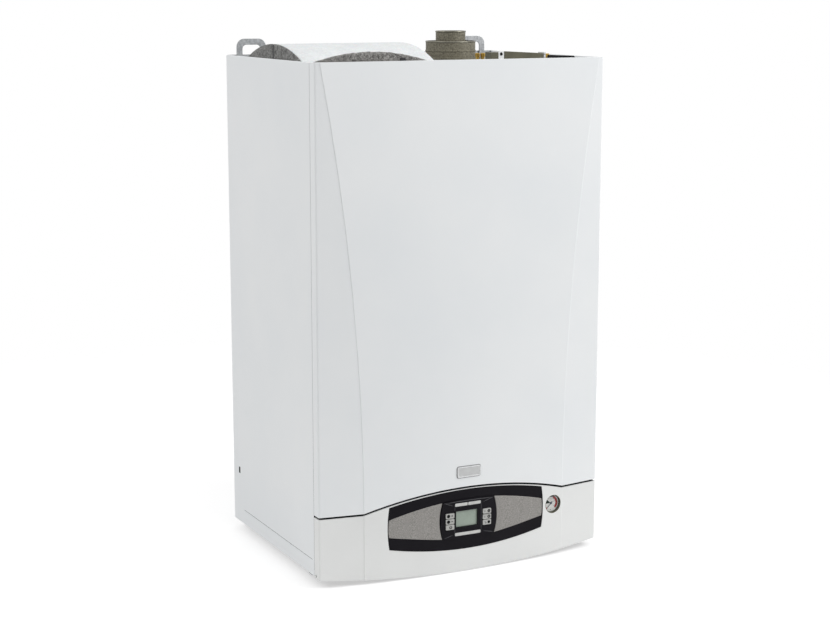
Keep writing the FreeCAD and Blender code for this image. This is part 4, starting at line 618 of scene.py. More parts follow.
STRIP_LEFT, STRIP_RIGHT = -30.0 * MM, 25.0 * MM
STRIP_SPLIT = (-3.2 * MM, -2.0 * MM)
UPPER_STRIPS, LOWER_STRIP = 114.0 * MM, 56.0 * MM
STRIP_HEIGHT = 6 * MM
STRIP_CORNER = 1.6 * MM
STRIP_LIFT = 0.6 * MM
STRIP_EDGE = 0.3 * MM
strip_spans = (
    (STRIP_LEFT, STRIP_SPLIT[0], UPPER_STRIPS),
    (STRIP_SPLIT[1], STRIP_RIGHT, UPPER_STRIPS),
    (STRIP_LEFT, STRIP_RIGHT, LOWER_STRIP),
)
strips = []
for left, right, level in strip_spans:
    middle = ((left + right) / 2, level)
    strip_size = (right - left, STRIP_HEIGHT)
    strips.append(pad_on(unit_front, middle, strip_size, STRIP_CORNER, STRIP_LIFT, STRIP_EDGE, SINK))
add_piece("label_strips", *joined(strips), "control_unit", "grey_key", light_strip)

PANEL_CENTRE = (-2.0 * MM, 84.7 * MM)
PANEL_HALF = (28.4 * MM, 34.4 * MM)
RIDGE_WIDTH = 0.9 * MM
CORNER_RIDGE_LIFT = 0.35 * MM
CORNER_RIDGE_INSET = 7.5 * MM
# How far the outer ends stand beyond the panel's height, above and below
CORNER_RIDGE_REACH = {1: 1.2 * MM, -1: -0.6 * MM}
CORNER_RIDGE_START = 0.18
CORNER_RIDGE_DROP = 5.5 * MM
UPRIGHT_LIFT = 0.4 * MM
UPRIGHT_FOOT, UPRIGHT_HEAD = 52 * MM, 116 * MM
CREST_WIDTH = 1.2 * MM
CREST_LIFT = 0.45 * MM
CREST_HALF_LINE = ((51 * MM, 119.6 * MM), (25 * MM, 120.6 * MM))
CREST_TOP = (0.0, 120.9 * MM)
ridge_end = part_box("remote_shell")[1].x - CORNER_RIDGE_INSET
ridges = []
for side in (-1, 1):
    x = PANEL_CENTRE[0] + side * PANEL_HALF[0]
    for top, reach in CORNER_RIDGE_REACH.items():
        far = (side * ridge_end, PANEL_CENTRE[1] + top * (PANEL_HALF[1] + reach))
        near_x = x + CORNER_RIDGE_START * (far[0] - x)
        near = (near_x, PANEL_CENTRE[1] + top * (PANEL_HALF[1] - CORNER_RIDGE_DROP))
        ridges.append(ridge_on(unit_front, [near, far], RIDGE_WIDTH, CORNER_RIDGE_LIFT, SINK))
    upright = [(x, UPRIGHT_FOOT), (x, UPRIGHT_HEAD)]
    ridges.append(ridge_on(unit_front, upright, RIDGE_WIDTH, UPRIGHT_LIFT, SINK))
crest = [(-x, z) for x, z in CREST_HALF_LINE] + [CREST_TOP] + list(reversed(CREST_HALF_LINE))
ridges.append(ridge_on(unit_front, crest, CREST_WIDTH, CREST_LIFT, SINK))
# The ridges' lighter colour is a painted highlight
add_piece("unit_ridges", *joined(ridges), "control_unit", "black_plastic", painted_ridge_highlight)

# Plain marks on the keys: places and sizes are in millimetres from a key's middle

KEY_LIFT = 0.03 * MM
KEY_SINK = 0.2 * MM
KEY_RING_STEPS = 28
LEFT_MARK, RIGHT_MARK, MIDDLE_MARK = -3.8, 3.9, 1.0
PINHOLE = 0.02
DOT, SMALL_DOT, HUB = 3.4, 3.0, 0.8
RING = (1.5, 3.2)
STANDBY_RING = (1.5, 3.1)
STANDBY_GAP = 35
STANDBY_BAR, STANDBY_BAR_RISE = (1.0, 2.4), 1.5
SIGN_BAR = (4.0, 1.1)
SIGN_ARM, SIGN_ARM_RISE = (1.1, 1.4), 1.3
SIDE_BAR, SIDE_BAR_SHIFT = (1.0, 3.6), -1.0
WHEEL_BAR = (3.2, 0.9)
WHEEL_ARM, WHEEL_ARM_RISE = (0.9, 1.1), 1.0
UPPER_STROKE, UPPER_STROKE_RISE, UPPER_STROKE_TURN = (3.6, 1.0), 0.7, 20
LOWER_STROKE, LOWER_STROKE_RISE, LOWER_STROKE_TURN = (3.2, 1.0), -1.3, -25
LOWER_STROKE_SHIFT = 1.2


def key_marks(key, kind):
    """The marks of one kind on a key: a dot with plus or minus, rings, and bars."""
    front = facing("button_" + key)
    (key_x, key_z), _ = face_of(*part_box("button_" + key))
    marks = []

    def bar(x, z, size, turn=0.0):
        place = (key_x + x * MM, key_z + z * MM)
        marks.append(block_on(front, place, size[0] * MM, size[1] * MM, KEY_LIFT, KEY_SINK, turn))

    def ring(x, inner, outer, gap=0):
        place = (key_x + x * MM, key_z)
        marks.append(sector_on(
            front, place, inner * MM, outer * MM, gap, FULL_TURN - gap, KEY_LIFT, KEY_SINK, KEY_RING_STEPS
        ))

    if kind in ("plus", "minus"):
        ring(LEFT_MARK, PINHOLE, DOT)
        bar(RIGHT_MARK, 0.0, SIGN_BAR)
    if kind == "plus":
        bar(RIGHT_MARK, SIGN_ARM_RISE, SIGN_ARM)
        bar(RIGHT_MARK, -SIGN_ARM_RISE, SIGN_ARM)
    if kind == "standby":
        ring(MIDDLE_MARK, *STANDBY_RING, STANDBY_GAP)
        bar(MIDDLE_MARK, STANDBY_BAR_RISE, STANDBY_BAR)
    if kind in ("wheel", "clock"):
        bar(LEFT_MARK + SIDE_BAR_SHIFT, 0.0, SIDE_BAR)
        ring(RIGHT_MARK, *RING)
    if kind == "wheel":
        bar(RIGHT_MARK, 0.0, WHEEL_BAR)
        bar(RIGHT_MARK, WHEEL_ARM_RISE, WHEEL_ARM)
        bar(RIGHT_MARK, -WHEEL_ARM_RISE, WHEEL_ARM)
    if kind == "clock":
        ring(RIGHT_MARK, PINHOLE, HUB)
    if kind == "reset":
        bar(LEFT_MARK, UPPER_STROKE_RISE, UPPER_STROKE, UPPER_STROKE_TURN)
        bar(LEFT_MARK + LOWER_STROKE_SHIFT, LOWER_STROKE_RISE, LOWER_STROKE, LOWER_STROKE_TURN)
        ring(RIGHT_MARK, PINHOLE, SMALL_DOT)
    return joined(marks)


key_kinds = {
    "left_top": "plus",
    "left_middle": "minus",
    "left_bottom": "standby",
    "right_top": "wheel",
    "right_middle": "clock",
    "right_bottom": "reset",
}
for key, kind in key_kinds.items():
    add_piece("marks_" + key, *key_marks(key, kind), "key_" + key, "grey_key", ink)

# Gauge printing: radii and sizes of bands and bars are in millimetres, turns in degrees

PRINT_LIFT = 0.06 * MM
PRINT_SINK = 0.1 * MM
SCALE_START, SCALE_END, SCALE_STEPS = -135.0, 135.0, 16
STEPS_PER_FIGURE = 4
LONG_TICK_RADIUS, LONG_TICK = 9.0, (0.45, 1.6)
SHORT_TICK_RADIUS, SHORT_TICK = 9.3, (0.28, 1.0)
FOOT_BAR_RADIUS, FOOT_BAR_TURN, FOOT_BAR = 13.6, 184.0, (2.6, 0.9)
RED_BAND_RADII, RED_BAND_TURNS = (10.2, 14.8), (26, 138)
RED_SPOT_RADIUS, RED_SPOT_TURN, RED_SPOT = 14.0, 226.0, (3.2, 3.2)
BLACK_BAND_RADII, BLACK_BAND_TURNS = (12.4, 16.2), (-38, 25)
WEDGE_RADII, WEDGE_TURNS = (2.6, 13.0), (-92, -50)
FIGURE_SIZE = 2.6 * MM
FIGURE_DEPTH = 0.05 * MM
FIGURE_RADIUS = 6.6 * MM
dial_low, dial_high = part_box("gauge_dial")
dial_face_y = dial_low.y
dial_centre, _ = face_of(dial_low, dial_high)


def dial_front(x, z):
    """The dial is flat, so its front is the same everywhere."""
    return dial_face_y


def dial_band(radii, turns):
    inner, outer = radii
    return sector_on(dial_front, dial_centre, inner * MM, outer * MM, *turns, PRINT_LIFT, PRINT_SINK)


def dial_bar(radius, turn, size):
    place = turned(dial_centre, radius * MM, turn)
    return block_on(dial_front, place, size[0] * MM, size[1] * MM, PRINT_LIFT, PRINT_SINK, turn)


def dial_figure(figure, turn):
    """One plain number on the dial, as points and faces."""
    text = bpy.data.curves.new("figure_" + figure, "FONT")
    text.body = figure
    text.size = FIGURE_SIZE
    text.align_x = "CENTER"
    text.align_y = "CENTER"
    text.extrude = FIGURE_DEPTH
    written = bpy.data.objects.new("figure_source", text)
    shown.link(written)
    bpy.context.view_layer.update()
    mesh = bpy.data.meshes.new_from_object(written)
    bpy.data.objects.remove(written)
    x, z = turned(dial_centre, FIGURE_RADIUS, turn)
    points = [(x + v.co.x, dial_face_y - v.co.z, z + v.co.y) for v in mesh.vertices]
    faces = [tuple(p.vertices) for p in mesh.polygons]
    bpy.data.meshes.remove(mesh)
    return points, faces


ticks = []
figures = []
for i, turn in enumerate(spaced(SCALE_START, SCALE_END, SCALE_STEPS)):
    if i % STEPS_PER_FIGURE == 0:
        ticks.append(dial_bar(LONG_TICK_RADIUS, turn, LONG_TICK))
        figures.append((str(i // STEPS_PER_FIGURE), turn))
    else:
        ticks.append(dial_bar(SHORT_TICK_RADIUS, turn, SHORT_TICK))
ticks.append(dial_bar(FOOT_BAR_RADIUS, FOOT_BAR_TURN, FOOT_BAR))
red_marks = [dial_band(RED_BAND_RADII, RED_BAND_TURNS), dial_bar(RED_SPOT_RADIUS, RED_SPOT_TURN, RED_SPOT)]
add_piece("dial_ticks", *joined(ticks), "fascia", "dial_face", ink)
add_piece("dial_red", *joined(red_marks), "fascia", "dial_face", red_ink)
add_piece("dial_black", *dial_band(BLACK_BAND_RADII, BLACK_BAND_TURNS), "fascia", "dial_face", ink)
add_piece("dial_wedge", *dial_band(WEDGE_RADII, WEDGE_TURNS), "fascia", "dial_face", dark_green)
for figure, turn in figures:
    add_piece("dial_figure_" + figure, *dial_figure(figure, turn), "fascia", "dial_face", ink)

# Badge: a grey ring of painted shade on the cover round the plate, and a rim on the plate, lighter as a
# painted highlight; the field stays bare

RIM_INSET = 0.5 * MM
RIM_BAND = 1.8 * MM
RIM_CORNERS = (3.5 * MM, 2.0 * MM)
RIM_LIFT = 0.7 * MM
RIM_EDGE = 0.35 * MM
SHADE_RING_REACH = 1.1 * MM
SHADE_RING_CORNERS = (4.5 * MM, 2.0 * MM)
SHADE_RING_LIFT = 0.3 * MM
SHADE_RING_EDGE = 0.15 * MM
cover_front = facing("front_cover")
badge_centre, badge_size = face_of(*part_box("badge"))
rim_size = grown(badge_size, -RIM_INSET)
rim = frame_on(
    facing("badge"), badge_centre, rim_size, grown(rim_size, -RIM_BAND),
    RIM_CORNERS, RIM_LIFT, RIM_EDGE, SINK,
)
badge_shade = frame_on(
    cover_front, badge_centre, grown(badge_size, SHADE_RING_REACH), grown(badge_size, -SHADE_RING_REACH),
    SHADE_RING_CORNERS, SHADE_RING_LIFT, SHADE_RING_EDGE, SINK,
)
# A grey ring of painted shade round the badge
add_piece("badge_shade_ring", *badge_shade, "cover", "badge_silver", badge_shade_grey)
# The rim's lighter colour is partly a painted highlight
add_piece("badge_rim", *rim, "cover", "badge_silver", rim_polish_and_highlight)

# Bead foam: the cap and the jacket round the tank

MOULD_EDGE = 6 * MM
END_EDGE = 4 * MM
ARCH_RADIUS = 320 * MM
ARCH_STEPS = 48
CORNER_STEPS = 5
END_STEPS = 4
LENGTH_STEPS = 12


def rounded_ends(start, end):
    """Stations from start to end with the inset that rounds off both ends."""
    turns = spaced(0.0, math.pi / 2, END_STEPS)
    first = [(start + END_EDGE * (1 - math.cos(t)), END_EDGE * (1 - math.sin(t))) for t in turns]
    between = [(place, 0.0) for place in spaced(start, end, LENGTH_STEPS)[1:-1]]
    return first + between + [(start + end - place, inset) for place, inset in reversed(first)]


def vault_outline(low, high, inset):
    """The cap's section in y and z: an arched top with rounded shoulders over a flat foot."""
    middle = (low.y + high.y) / 2
    half = (high.y - low.y) / 2 - inset
    crown = ARCH_RADIUS - inset
    axis = high.z - ARCH_RADIUS
    shoulder = half - MOULD_EDGE
    rise = math.sqrt((crown - MOULD_EDGE) ** 2 - shoulder**2)
    lean = math.atan2(shoulder, rise)
    corner = []
    for turn in spaced(0.0, math.pi / 2 - lean, CORNER_STEPS)[:-1]:
        corner.append((-shoulder - MOULD_EDGE * math.cos(turn), axis + rise + MOULD_EDGE * math.sin(turn)))
    over = list(corner)
    for turn in spaced(-lean, lean, ARCH_STEPS):
        over.append((crown * math.sin(turn), axis + crown * math.cos(turn)))
    over += [(-y, z) for y, z in reversed(corner)]
    under = [(y, low.z + inset) for y, z in reversed(over)]
    return [(middle + y, z) for y, z in over + under]


def bead_cap(low, high):
    stations = rounded_ends(low.x, high.x)
    return skin([[(x, y, z) for y, z in vault_outline(low, high, inset)] for x, inset in stations])


def bead_jacket(low, high):
    middle = ((low.x + high.x) / 2, (low.y + high.y) / 2)
    size = (high.x - low.x, high.y - low.y)
    loops = []
    for z, inset in rounded_ends(low.z, high.z):
        outline = rounded_outline(middle, grown(size, -inset), MOULD_EDGE)
        loops.append([(x, y, z) for x, y in outline])
    return skin(loops)


cap = add_piece("bead_cap", *bead_cap(*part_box("insulation_cap")), "casing", "white_foam")
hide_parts("insulation_cap")

jacket = add_piece("bead_jacket", *bead_jacket(*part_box("insulation_jacket")), "casing", "white_foam")
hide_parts("insulation_jacket")

# Felt and open foam pads, with a clip, and a black fill in the foam's slit as painted shade

PAD_ROWS = 16
# Shares of a pad's height near its top, each with how far the face is rounded back there
PAD_TOP_ROUNDING = {0.965: 0.0, 0.985: 0.12, 0.995: 0.4, 1.0: 1.0}
PAD_TOP_EDGE = 0.6
FELT_RADIUS = 380 * MM
FELT_COLUMNS = 200
# Layers of wear: a place of its own in the noise, how deep it goes, and its scale
FELT_TOP_WEAR = ((0.0, 1.6 * MM, 90.0), (1.0, 1.0 * MM, 400.0))
FELT_FACE_WEAR = ((0.0, 0.9 * MM, 160.0), (2.0, 0.5 * MM, 500.0))
CLIP_PLACE = (-116 * MM, 951 * MM)
CLIP_SIZE = (11 * MM, 9 * MM)
CLIP_CORNER = 2.5 * MM
CLIP_LIFT = 1.2 * MM
CLIP_EDGE = 0.6 * MM
CLIP_SINK = 1.5 * MM
FOAM_SLIT = 6 * MM
FOAM_COLUMNS = 60
FOAM_WEAR, FOAM_WEAR_SCALE = 0.5 * MM, 120.0
FOAM_END_SHARE = 0.5
SLIT_SHADE_SINK = 1.2 * MM
SLIT_SHADE_CLEARANCE = 0.1 * MM
SLIT_SHADE_STEPS = 8


def sunk(point, amount, scale):
    """How far a felted or foamed face has sunk at a point, never proud of its solid."""
    return amount * (0.5 + 0.5 * noise.noise(Vector(point) * scale))


def pad_column(foot, top, face, back):
    """One station of a pad: its face from foot to top, rounded back at the top, and its flat back."""
    shares = [(i / PAD_ROWS, 0.0) for i in range(PAD_ROWS)] + list(PAD_TOP_ROUNDING.items())
    rows = [(foot + (top - foot) * share, rounding * PAD_TOP_EDGE) for share, rounding in shares]
    front = [(face(z) + (back - face(z)) * drop, z) for z, drop in rows]
    return front + [(back, z) for z, drop in reversed(rows)]


def arch(across, centre, top, radius):
    """Height of a round arch at a place across it."""
    return top - radius + math.sqrt(radius**2 - (across - centre) ** 2)


def felt_pad(low, high):
    """A pad whose arched top is ragged and whose face is uneven."""
    middle = (low.x + high.x) / 2
    loops = []
    for x in spaced(low.x, high.x, FELT_COLUMNS):
        ragged = sum(sunk((x, lane, 0.0), amount, scale) for lane, amount, scale in FELT_TOP_WEAR)

        def face(z):
            return low.y + sum(sunk((x, lane, z), amount, scale) for lane, amount, scale in FELT_FACE_WEAR)

        column = pad_column(low.z, arch(x, middle, high.z, FELT_RADIUS) - ragged, face, high.y)
        loops.append([(x, y, z) for y, z in column])
    return skin(loops)


def foam_half(low, high, start, end):
    """The pad between two places along its length, under an arch over the whole pad."""
    middle = (low.y + high.y) / 2
    loops = []
    for i, y in enumerate(spaced(start, end, FOAM_COLUMNS)):
        pinched = FOAM_END_SHARE if i in (0, FOAM_COLUMNS) else 0.0

        def face(z):
            worn = low.x + sunk((0.0, y, z), FOAM_WEAR, FOAM_WEAR_SCALE)
            return worn + (high.x - worn) * pinched

        column = pad_column(low.z, arch(y, middle, high.z, ARCH_RADIUS), face, high.x)
        loops.append([(x, y, z) for x, z in column])
    return skin(loops)


def foam_slit_shade(low, high):
    """A black fill in the slit between the pad's halves, a little below their faces: painted shade in the
    slit.
    """
    middle = (low.y + high.y) / 2
    half = FOAM_SLIT / 2 - SLIT_SHADE_CLEARANCE
    face = low.x + SLIT_SHADE_SINK
    loops = []
    for y in spaced(middle - half, middle + half, SLIT_SHADE_STEPS):
        top = arch(y, middle, high.z, ARCH_RADIUS) - SLIT_SHADE_SINK
        loops.append([(face, y, low.z), (face, y, top), (high.x, y, top), (high.x, y, low.z)])
    return skin(loops)


felt_mesh = felt_pad(*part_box("front_felt_pad"))
felt = add_piece("felt_pad", *felt_mesh, "casing", "grey_felt", soft_angle=PAD_SOFT_ANGLE)
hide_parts("front_felt_pad")
felt_front = facing("front_felt_pad")
felt_clip = pad_on(felt_front, CLIP_PLACE, CLIP_SIZE, CLIP_CORNER, CLIP_LIFT, CLIP_EDGE, CLIP_SINK)
add_piece("felt_clip", *felt_clip, "casing", "knob_black")

foam_low, foam_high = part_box("side_foam_pad")
foam_middle = (foam_low.y + foam_high.y) / 2
halves = [
    foam_half(foam_low, foam_high, foam_low.y, foam_middle - FOAM_SLIT / 2),
    foam_half(foam_low, foam_high, foam_middle + FOAM_SLIT / 2, foam_high.y),
]
# Black fill in the foam's slit: painted shade
add_piece("foam_slit_shade", *foam_slit_shade(foam_low, foam_high), "casing", "knob_black")
foam = add_piece("foam_pad", *joined(halves), "casing", "dark_foam", soft_angle=PAD_SOFT_ANGLE)
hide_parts("side_foam_pad")

# Black strip on the chamber's front upper edge, right of the hatch: painted shade in the gap there

GAP_SHADE_DEPTH = 6 * MM
GAP_SHADE_RISES = (13 * MM, 10.5 * MM)
GAP_SHADE_CLIP_GAP = 2 * MM
GAP_SHADE_END_GAP = 3 * MM
GAP_SHADE_HATCH_GAP = 4 * MM
GAP_SHADE_STEPS = 16
# Half of the strip's rounded section, as shares of its depth and rise
GAP_SHADE_HALF_SECTION = ((0.0, 0.0), (0.0, 0.8), (0.2, 0.95))
chamber_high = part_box("chamber_box")[1]
clip_low, clip_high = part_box("hatch_clips")
gap_shade_start = clip_high.x + GAP_SHADE_CLIP_GAP
gap_shade_end = chamber_high.x - GAP_SHADE_END_GAP
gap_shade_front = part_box("hatch_cover")[0].y - GAP_SHADE_HATCH_GAP - GAP_SHADE_DEPTH
gap_shade_section = list(GAP_SHADE_HALF_SECTION) + [(0.5, 1.0)]
gap_shade_section += [(1 - y, z) for y, z in reversed(GAP_SHADE_HALF_SECTION)] + [(0.5, 0.0)]
loops = []
for x, rise in zip(spaced(gap_shade_start, gap_shade_end, GAP_SHADE_STEPS), spaced(*GAP_SHADE_RISES, GAP_SHADE_STEPS)):
    loops.append([(x, gap_shade_front + GAP_SHADE_DEPTH * y, chamber_high.z + rise * z) for y, z in gap_shade_section])
add_piece("chamber_gap_shade", *skin(loops), "casing", "knob_black", painted_gap_shade)

# Black fill in the latch's hole beside the hatch: painted shade in the hole

LATCH_HALF_WIDTH = 6 * MM
LATCH_HOLE_LEVEL = 955.75 * MM
HOLE_SHADE_RADIUS = 3.25 * MM
HOLE_SHADE_SIDES = 32
# Depths behind the latch's face, each with its share of the radius
HOLE_SHADE_RINGS = ((7.9 * MM, 1.0), (1.4 * MM, 1.0), (0.8 * MM, 0.8), (0.8 * MM, 0.3))
latch_middle = clip_low.x + LATCH_HALF_WIDTH
loops = []
for depth, share in HOLE_SHADE_RINGS:
    radius = HOLE_SHADE_RADIUS * share
    ring = [(latch_middle + radius * x, LATCH_HOLE_LEVEL + radius * z) for x, z in circle(HOLE_SHADE_SIDES)]
    loops.append([(x, clip_low.y + depth, z) for x, z in ring])
add_piece("latch_hole_shade", *skin(loops), "casing", "knob_black", painted_gap_shade)

# Rolled rims on the flue, bare metal made lighter than the flue as a painted highlight: their section is in
# millimetres out and up from a tube's upper edge

ROLL_SIDES = 72
ROLL_SECTION = ((-0.4, 0.0), (0.3, -0.1), (0.9, -0.6), (1.1, -1.4), (0.9, -2.2), (0.3, -2.7), (-0.4, -2.8))
AIR_RADIUS = 50 * MM


def rolled_rim(centre, radius, top):
    """A rolled edge round the upper end of a tube."""
    loops = []
    for x, y in circle(ROLL_SIDES):
        loop = []
        for reach, rise in ROLL_SECTION:
            out = radius + reach * MM
            loop.append((centre[0] + out * x, centre[1] + out * y, top + rise * MM))
        loops.append(loop)
    return skin(loops, closed=True)


tube_low, tube_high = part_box("flue_tube")
flue_centre = ((tube_low.x + tube_high.x) / 2, (tube_low.y + tube_high.y) / 2)
flue_rims = [
    rolled_rim(flue_centre, (tube_high.x - tube_low.x) / 2, tube_high.z),
    rolled_rim(flue_centre, AIR_RADIUS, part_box("flue_adaptor")[1].z),
]
# The rims' lighter metal is partly a painted highlight
add_piece("flue_rims", *joined(flue_rims), "casing", "flue_metal", flue_rim_metal_and_highlight)

# Black rail behind the arched seam, with a tongue that darkens the joint: painted shade in the seam's gap

SEAM_LEVEL = 116 * MM
SEAM_RISE = 30 * MM
CREASE = 215 * MM
SEAM_RADIUS = (CREASE**2 + SEAM_RISE**2) / (2 * SEAM_RISE)
COVER_PROBE = 6 * MM
RAIL_SETBACK = 8 * MM
RAIL_THICKNESS = 2 * MM
RAIL_HALF_HEIGHT = 7.5 * MM
RAIL_END = 296.4 * MM
RAIL_ARM_BACK = -408 * MM
RAIL_STEPS = 60
RAIL_CORNERS = ((1, 1), (-1, 1), (-1, -1), (1, -1))
TONGUE_SETBACK = 1.6 * MM
TONGUE_HEIGHT = 1.7 * MM


def arched_seam(x):
    """Height of the seam's middle: level at both sides, arched between the creases."""
    if abs(x) >= CREASE:
        return SEAM_LEVEL
    return arch(x, 0.0, SEAM_LEVEL + SEAM_RISE, SEAM_RADIUS)


seam_end = RAIL_END - 2 * RAIL_THICKNESS
seam_line = []
for x in spaced(-seam_end, seam_end, RAIL_STEPS):
    z = arched_seam(x)
    seam_line.append((x, cover_front(x, z + COVER_PROBE), z))
arm_x = RAIL_END - RAIL_THICKNESS
rail_line = [(x, y + RAIL_SETBACK, z) for x, y, z in seam_line]
rail_line = [(-arm_x, RAIL_ARM_BACK, SEAM_LEVEL)] + rail_line + [(arm_x, RAIL_ARM_BACK, SEAM_LEVEL)]
rail_loops = []
for i, (x, y, z) in enumerate(rail_line):
    before, after = rail_line[max(i - 1, 0)], rail_line[min(i + 1, len(rail_line) - 1)]
    along = Vector((after[0] - before[0], after[1] - before[1])).normalized()
    out = Vector((-along.y, along.x)) * RAIL_THICKNESS / 2
    rail_loops.append([
        (x + out.x * side, y + out.y * side, z + RAIL_HALF_HEIGHT * top) for side, top in RAIL_CORNERS
    ])
tongue_loops = []
for x, y, z in seam_line:
    tip, root = y + TONGUE_SETBACK, y + RAIL_SETBACK - RAIL_THICKNESS / 2
    upper = z + TONGUE_HEIGHT
    tongue_loops.append([(x, tip, upper), (x, root, upper), (x, root, z), (x, tip, z)])
seam_shade_rail = joined([skin(rail_loops), skin(tongue_loops)])
add_piece("seam_shade_rail", *seam_shade_rail, "casing", "knob_black", painted_gap_shade)

# Dark bars on both sides, all painted shade: black strips in the joints beside the cover, grey lines in the
# grooves and black fills in the slots

JOINT_SHADE_DEPTH = 4 * MM
SHADE_SET = 0.1 * MM
JOINT_SHADE_FOOT, JOINT_SHADE_HEAD = 12 * MM, 948 * MM
JOINT_SHADE_CLEARANCE_SHARE = 1 / 12
GROOVE_FLOOR = 0.6 * MM
GROOVE_LINE = 0.35 * MM
GROOVE_LOW, GROOVE_HIGH = 29.2 * MM, 30.4 * MM
GROOVE_FROM_FRONT, GROOVE_FROM_WALL = 8.5 * MM, 56.5 * MM
SLOT_HALF_WIDTH, SLOT_HALF_HEIGHT = 3.9 * MM, 6.4 * MM
SLOT_FROM_WALL, SLOT_LEVEL = 32 * MM, 109 * MM
SLOT_DEPTH = 1.4 * MM


def bar_between(low, high):
    """A straight bar between two corners."""
    face = [(low[1], low[2]), (low[1], high[2]), (high[1], high[2]), (high[1], low[2])]
    return skin([[(x, y, z) for y, z in face] for x in (low[0], high[0])])


panel_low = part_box("left_side_panel")[0]
cover_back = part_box("front_cover")[1].y
joint_shade_clearance = (panel_low.y - cover_back) * JOINT_SHADE_CLEARANCE_SHARE
joint_shades, lines, slot_shades = [], [], []
for side in (-1, 1):
    face_x = side * -panel_low.x
    joint_shades.append(bar_between(
        (face_x - side * JOINT_SHADE_DEPTH, cover_back + joint_shade_clearance, JOINT_SHADE_FOOT),
        (face_x - side * SHADE_SET, panel_low.y - joint_shade_clearance, JOINT_SHADE_HEAD),
    ))
    lines.append(bar_between(
        (face_x - side * GROOVE_FLOOR, panel_low.y + GROOVE_FROM_FRONT, GROOVE_LOW),
        (face_x - side * GROOVE_LINE, -GROOVE_FROM_WALL, GROOVE_HIGH),
    ))
    slot_shades.append(bar_between(
        (face_x - side * SLOT_DEPTH, -SLOT_FROM_WALL - SLOT_HALF_WIDTH, SLOT_LEVEL - SLOT_HALF_HEIGHT),
        (face_x - side * SHADE_SET, -SLOT_FROM_WALL + SLOT_HALF_WIDTH, SLOT_LEVEL + SLOT_HALF_HEIGHT),
    ))
# Black strips in the joints beside the cover: painted shade
add_piece("side_joint_shades", *joined(joint_shades), "casing", "knob_black", painted_gap_shade)
# Grey lines in the grooves: painted shade
add_piece("groove_lines", *joined(lines), "casing", "white_paint", grey_line)
# Black fills in the slots: painted shade
add_piece("slot_shade_plugs", *joined(slot_shades), "casing", "knob_black", painted_gap_shade)

# Sleeve between the gauge's window and the fascia's front

SLEEVE_INNER, SLEEVE_OUTER = 17.5 * MM, 18.3 * MM
SLEEVE_FRONT_GAP = 0.6 * MM
SLEEVE_BACK_GAP = 0.1 * MM
# The fascia's front is felt for at this share of the sleeve's radius, outside its hole
SLEEVE_PROBE_SHARE = 1.08
SLEEVE_SIDES = 72
fascia_front = facing("fascia")
sleeve_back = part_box("gauge_lens")[0].y - SLEEVE_BACK_GAP
reaches = (SLEEVE_INNER, SLEEVE_OUTER, SLEEVE_OUTER * SLEEVE_PROBE_SHARE)
loops = []
for out in circle(SLEEVE_SIDES):
    inner, outer, probe = [Vector(dial_centre) + Vector(out) * reach for reach in reaches]
    front = fascia_front(probe.x, probe.y) + SLEEVE_FRONT_GAP
    loops.append([
        (inner.x, sleeve_back, inner.y),
        (inner.x, front, inner.y),
        (outer.x, front, outer.y),
        (outer.x, sleeve_back, outer.y),
    ])
add_piece("gauge_sleeve", *skin(loops, closed=True), "fascia", "grey_plastic", finishes["olive_plastic"])

# Softened edges, with their widths in millimetres

# The fascia and the control unit's shell go without: a bevel cuts slits beside their holes
EDGE_WIDTHS = {
    "front_cover": 0.7,
    "left_side_panel": 0.5,
    "right_side_panel": 0.5,
    "silver_plates": 0.9,
    "badge": 0.4,
    "hatch_cover": 0.6,
    "hatch_clips": 0.4,
    "hanging_eyes": 0.5,
}
KEY_EDGE_WIDTH = 0.5
EDGE_SEGMENTS = 2
EDGE_ANGLE = 40
WELD_REACH = 0.005 * MM
EDGE_WIDTHS.update({"button_" + key: KEY_EDGE_WIDTH for key in key_kinds})
for name, width in EDGE_WIDTHS.items():
    weld = nodes[name].modifiers.new("weld", "WELD")
    weld.merge_threshold = WELD_REACH
    edges = nodes[name].modifiers.new("edges", "BEVEL")
    edges.width = width * MM
    edges.segments = EDGE_SEGMENTS
    edges.limit_method = "ANGLE"
    edges.angle_limit = math.radians(EDGE_ANGLE)
    even = nodes[name].modifiers.new("even", "WEIGHTED_NORMAL")
    even.keep_sharp = True


# Stage: floor, camera and lights, in metres

FLOOR_REACH = 3.0
FLOOR_DROP = 2 * MM
FLOOR_SIDES = 64
FLOOR_FADE_START, FLOOR_FADE_END = 0.6, 1.9
FLOOR_GLOW = 0.5


def shown_share(tree):
    """One for rays from the camera, off a mirror or through glass, and zero for the light on the object."""
    rays = tree.nodes.new("ShaderNodeLightPath")
    share = rays.outputs["Is Camera Ray"]
    for kind in ("Is Glossy Ray", "Is Transmission Ray"):
        larger = tree.nodes.new("ShaderNodeMath")
        larger.operation = "MAXIMUM"
        tree.links.new(share, larger.inputs[0])
        tree.links.new(rays.outputs[kind], larger.inputs[1])
        share = larger.outputs["Value"]
    return share


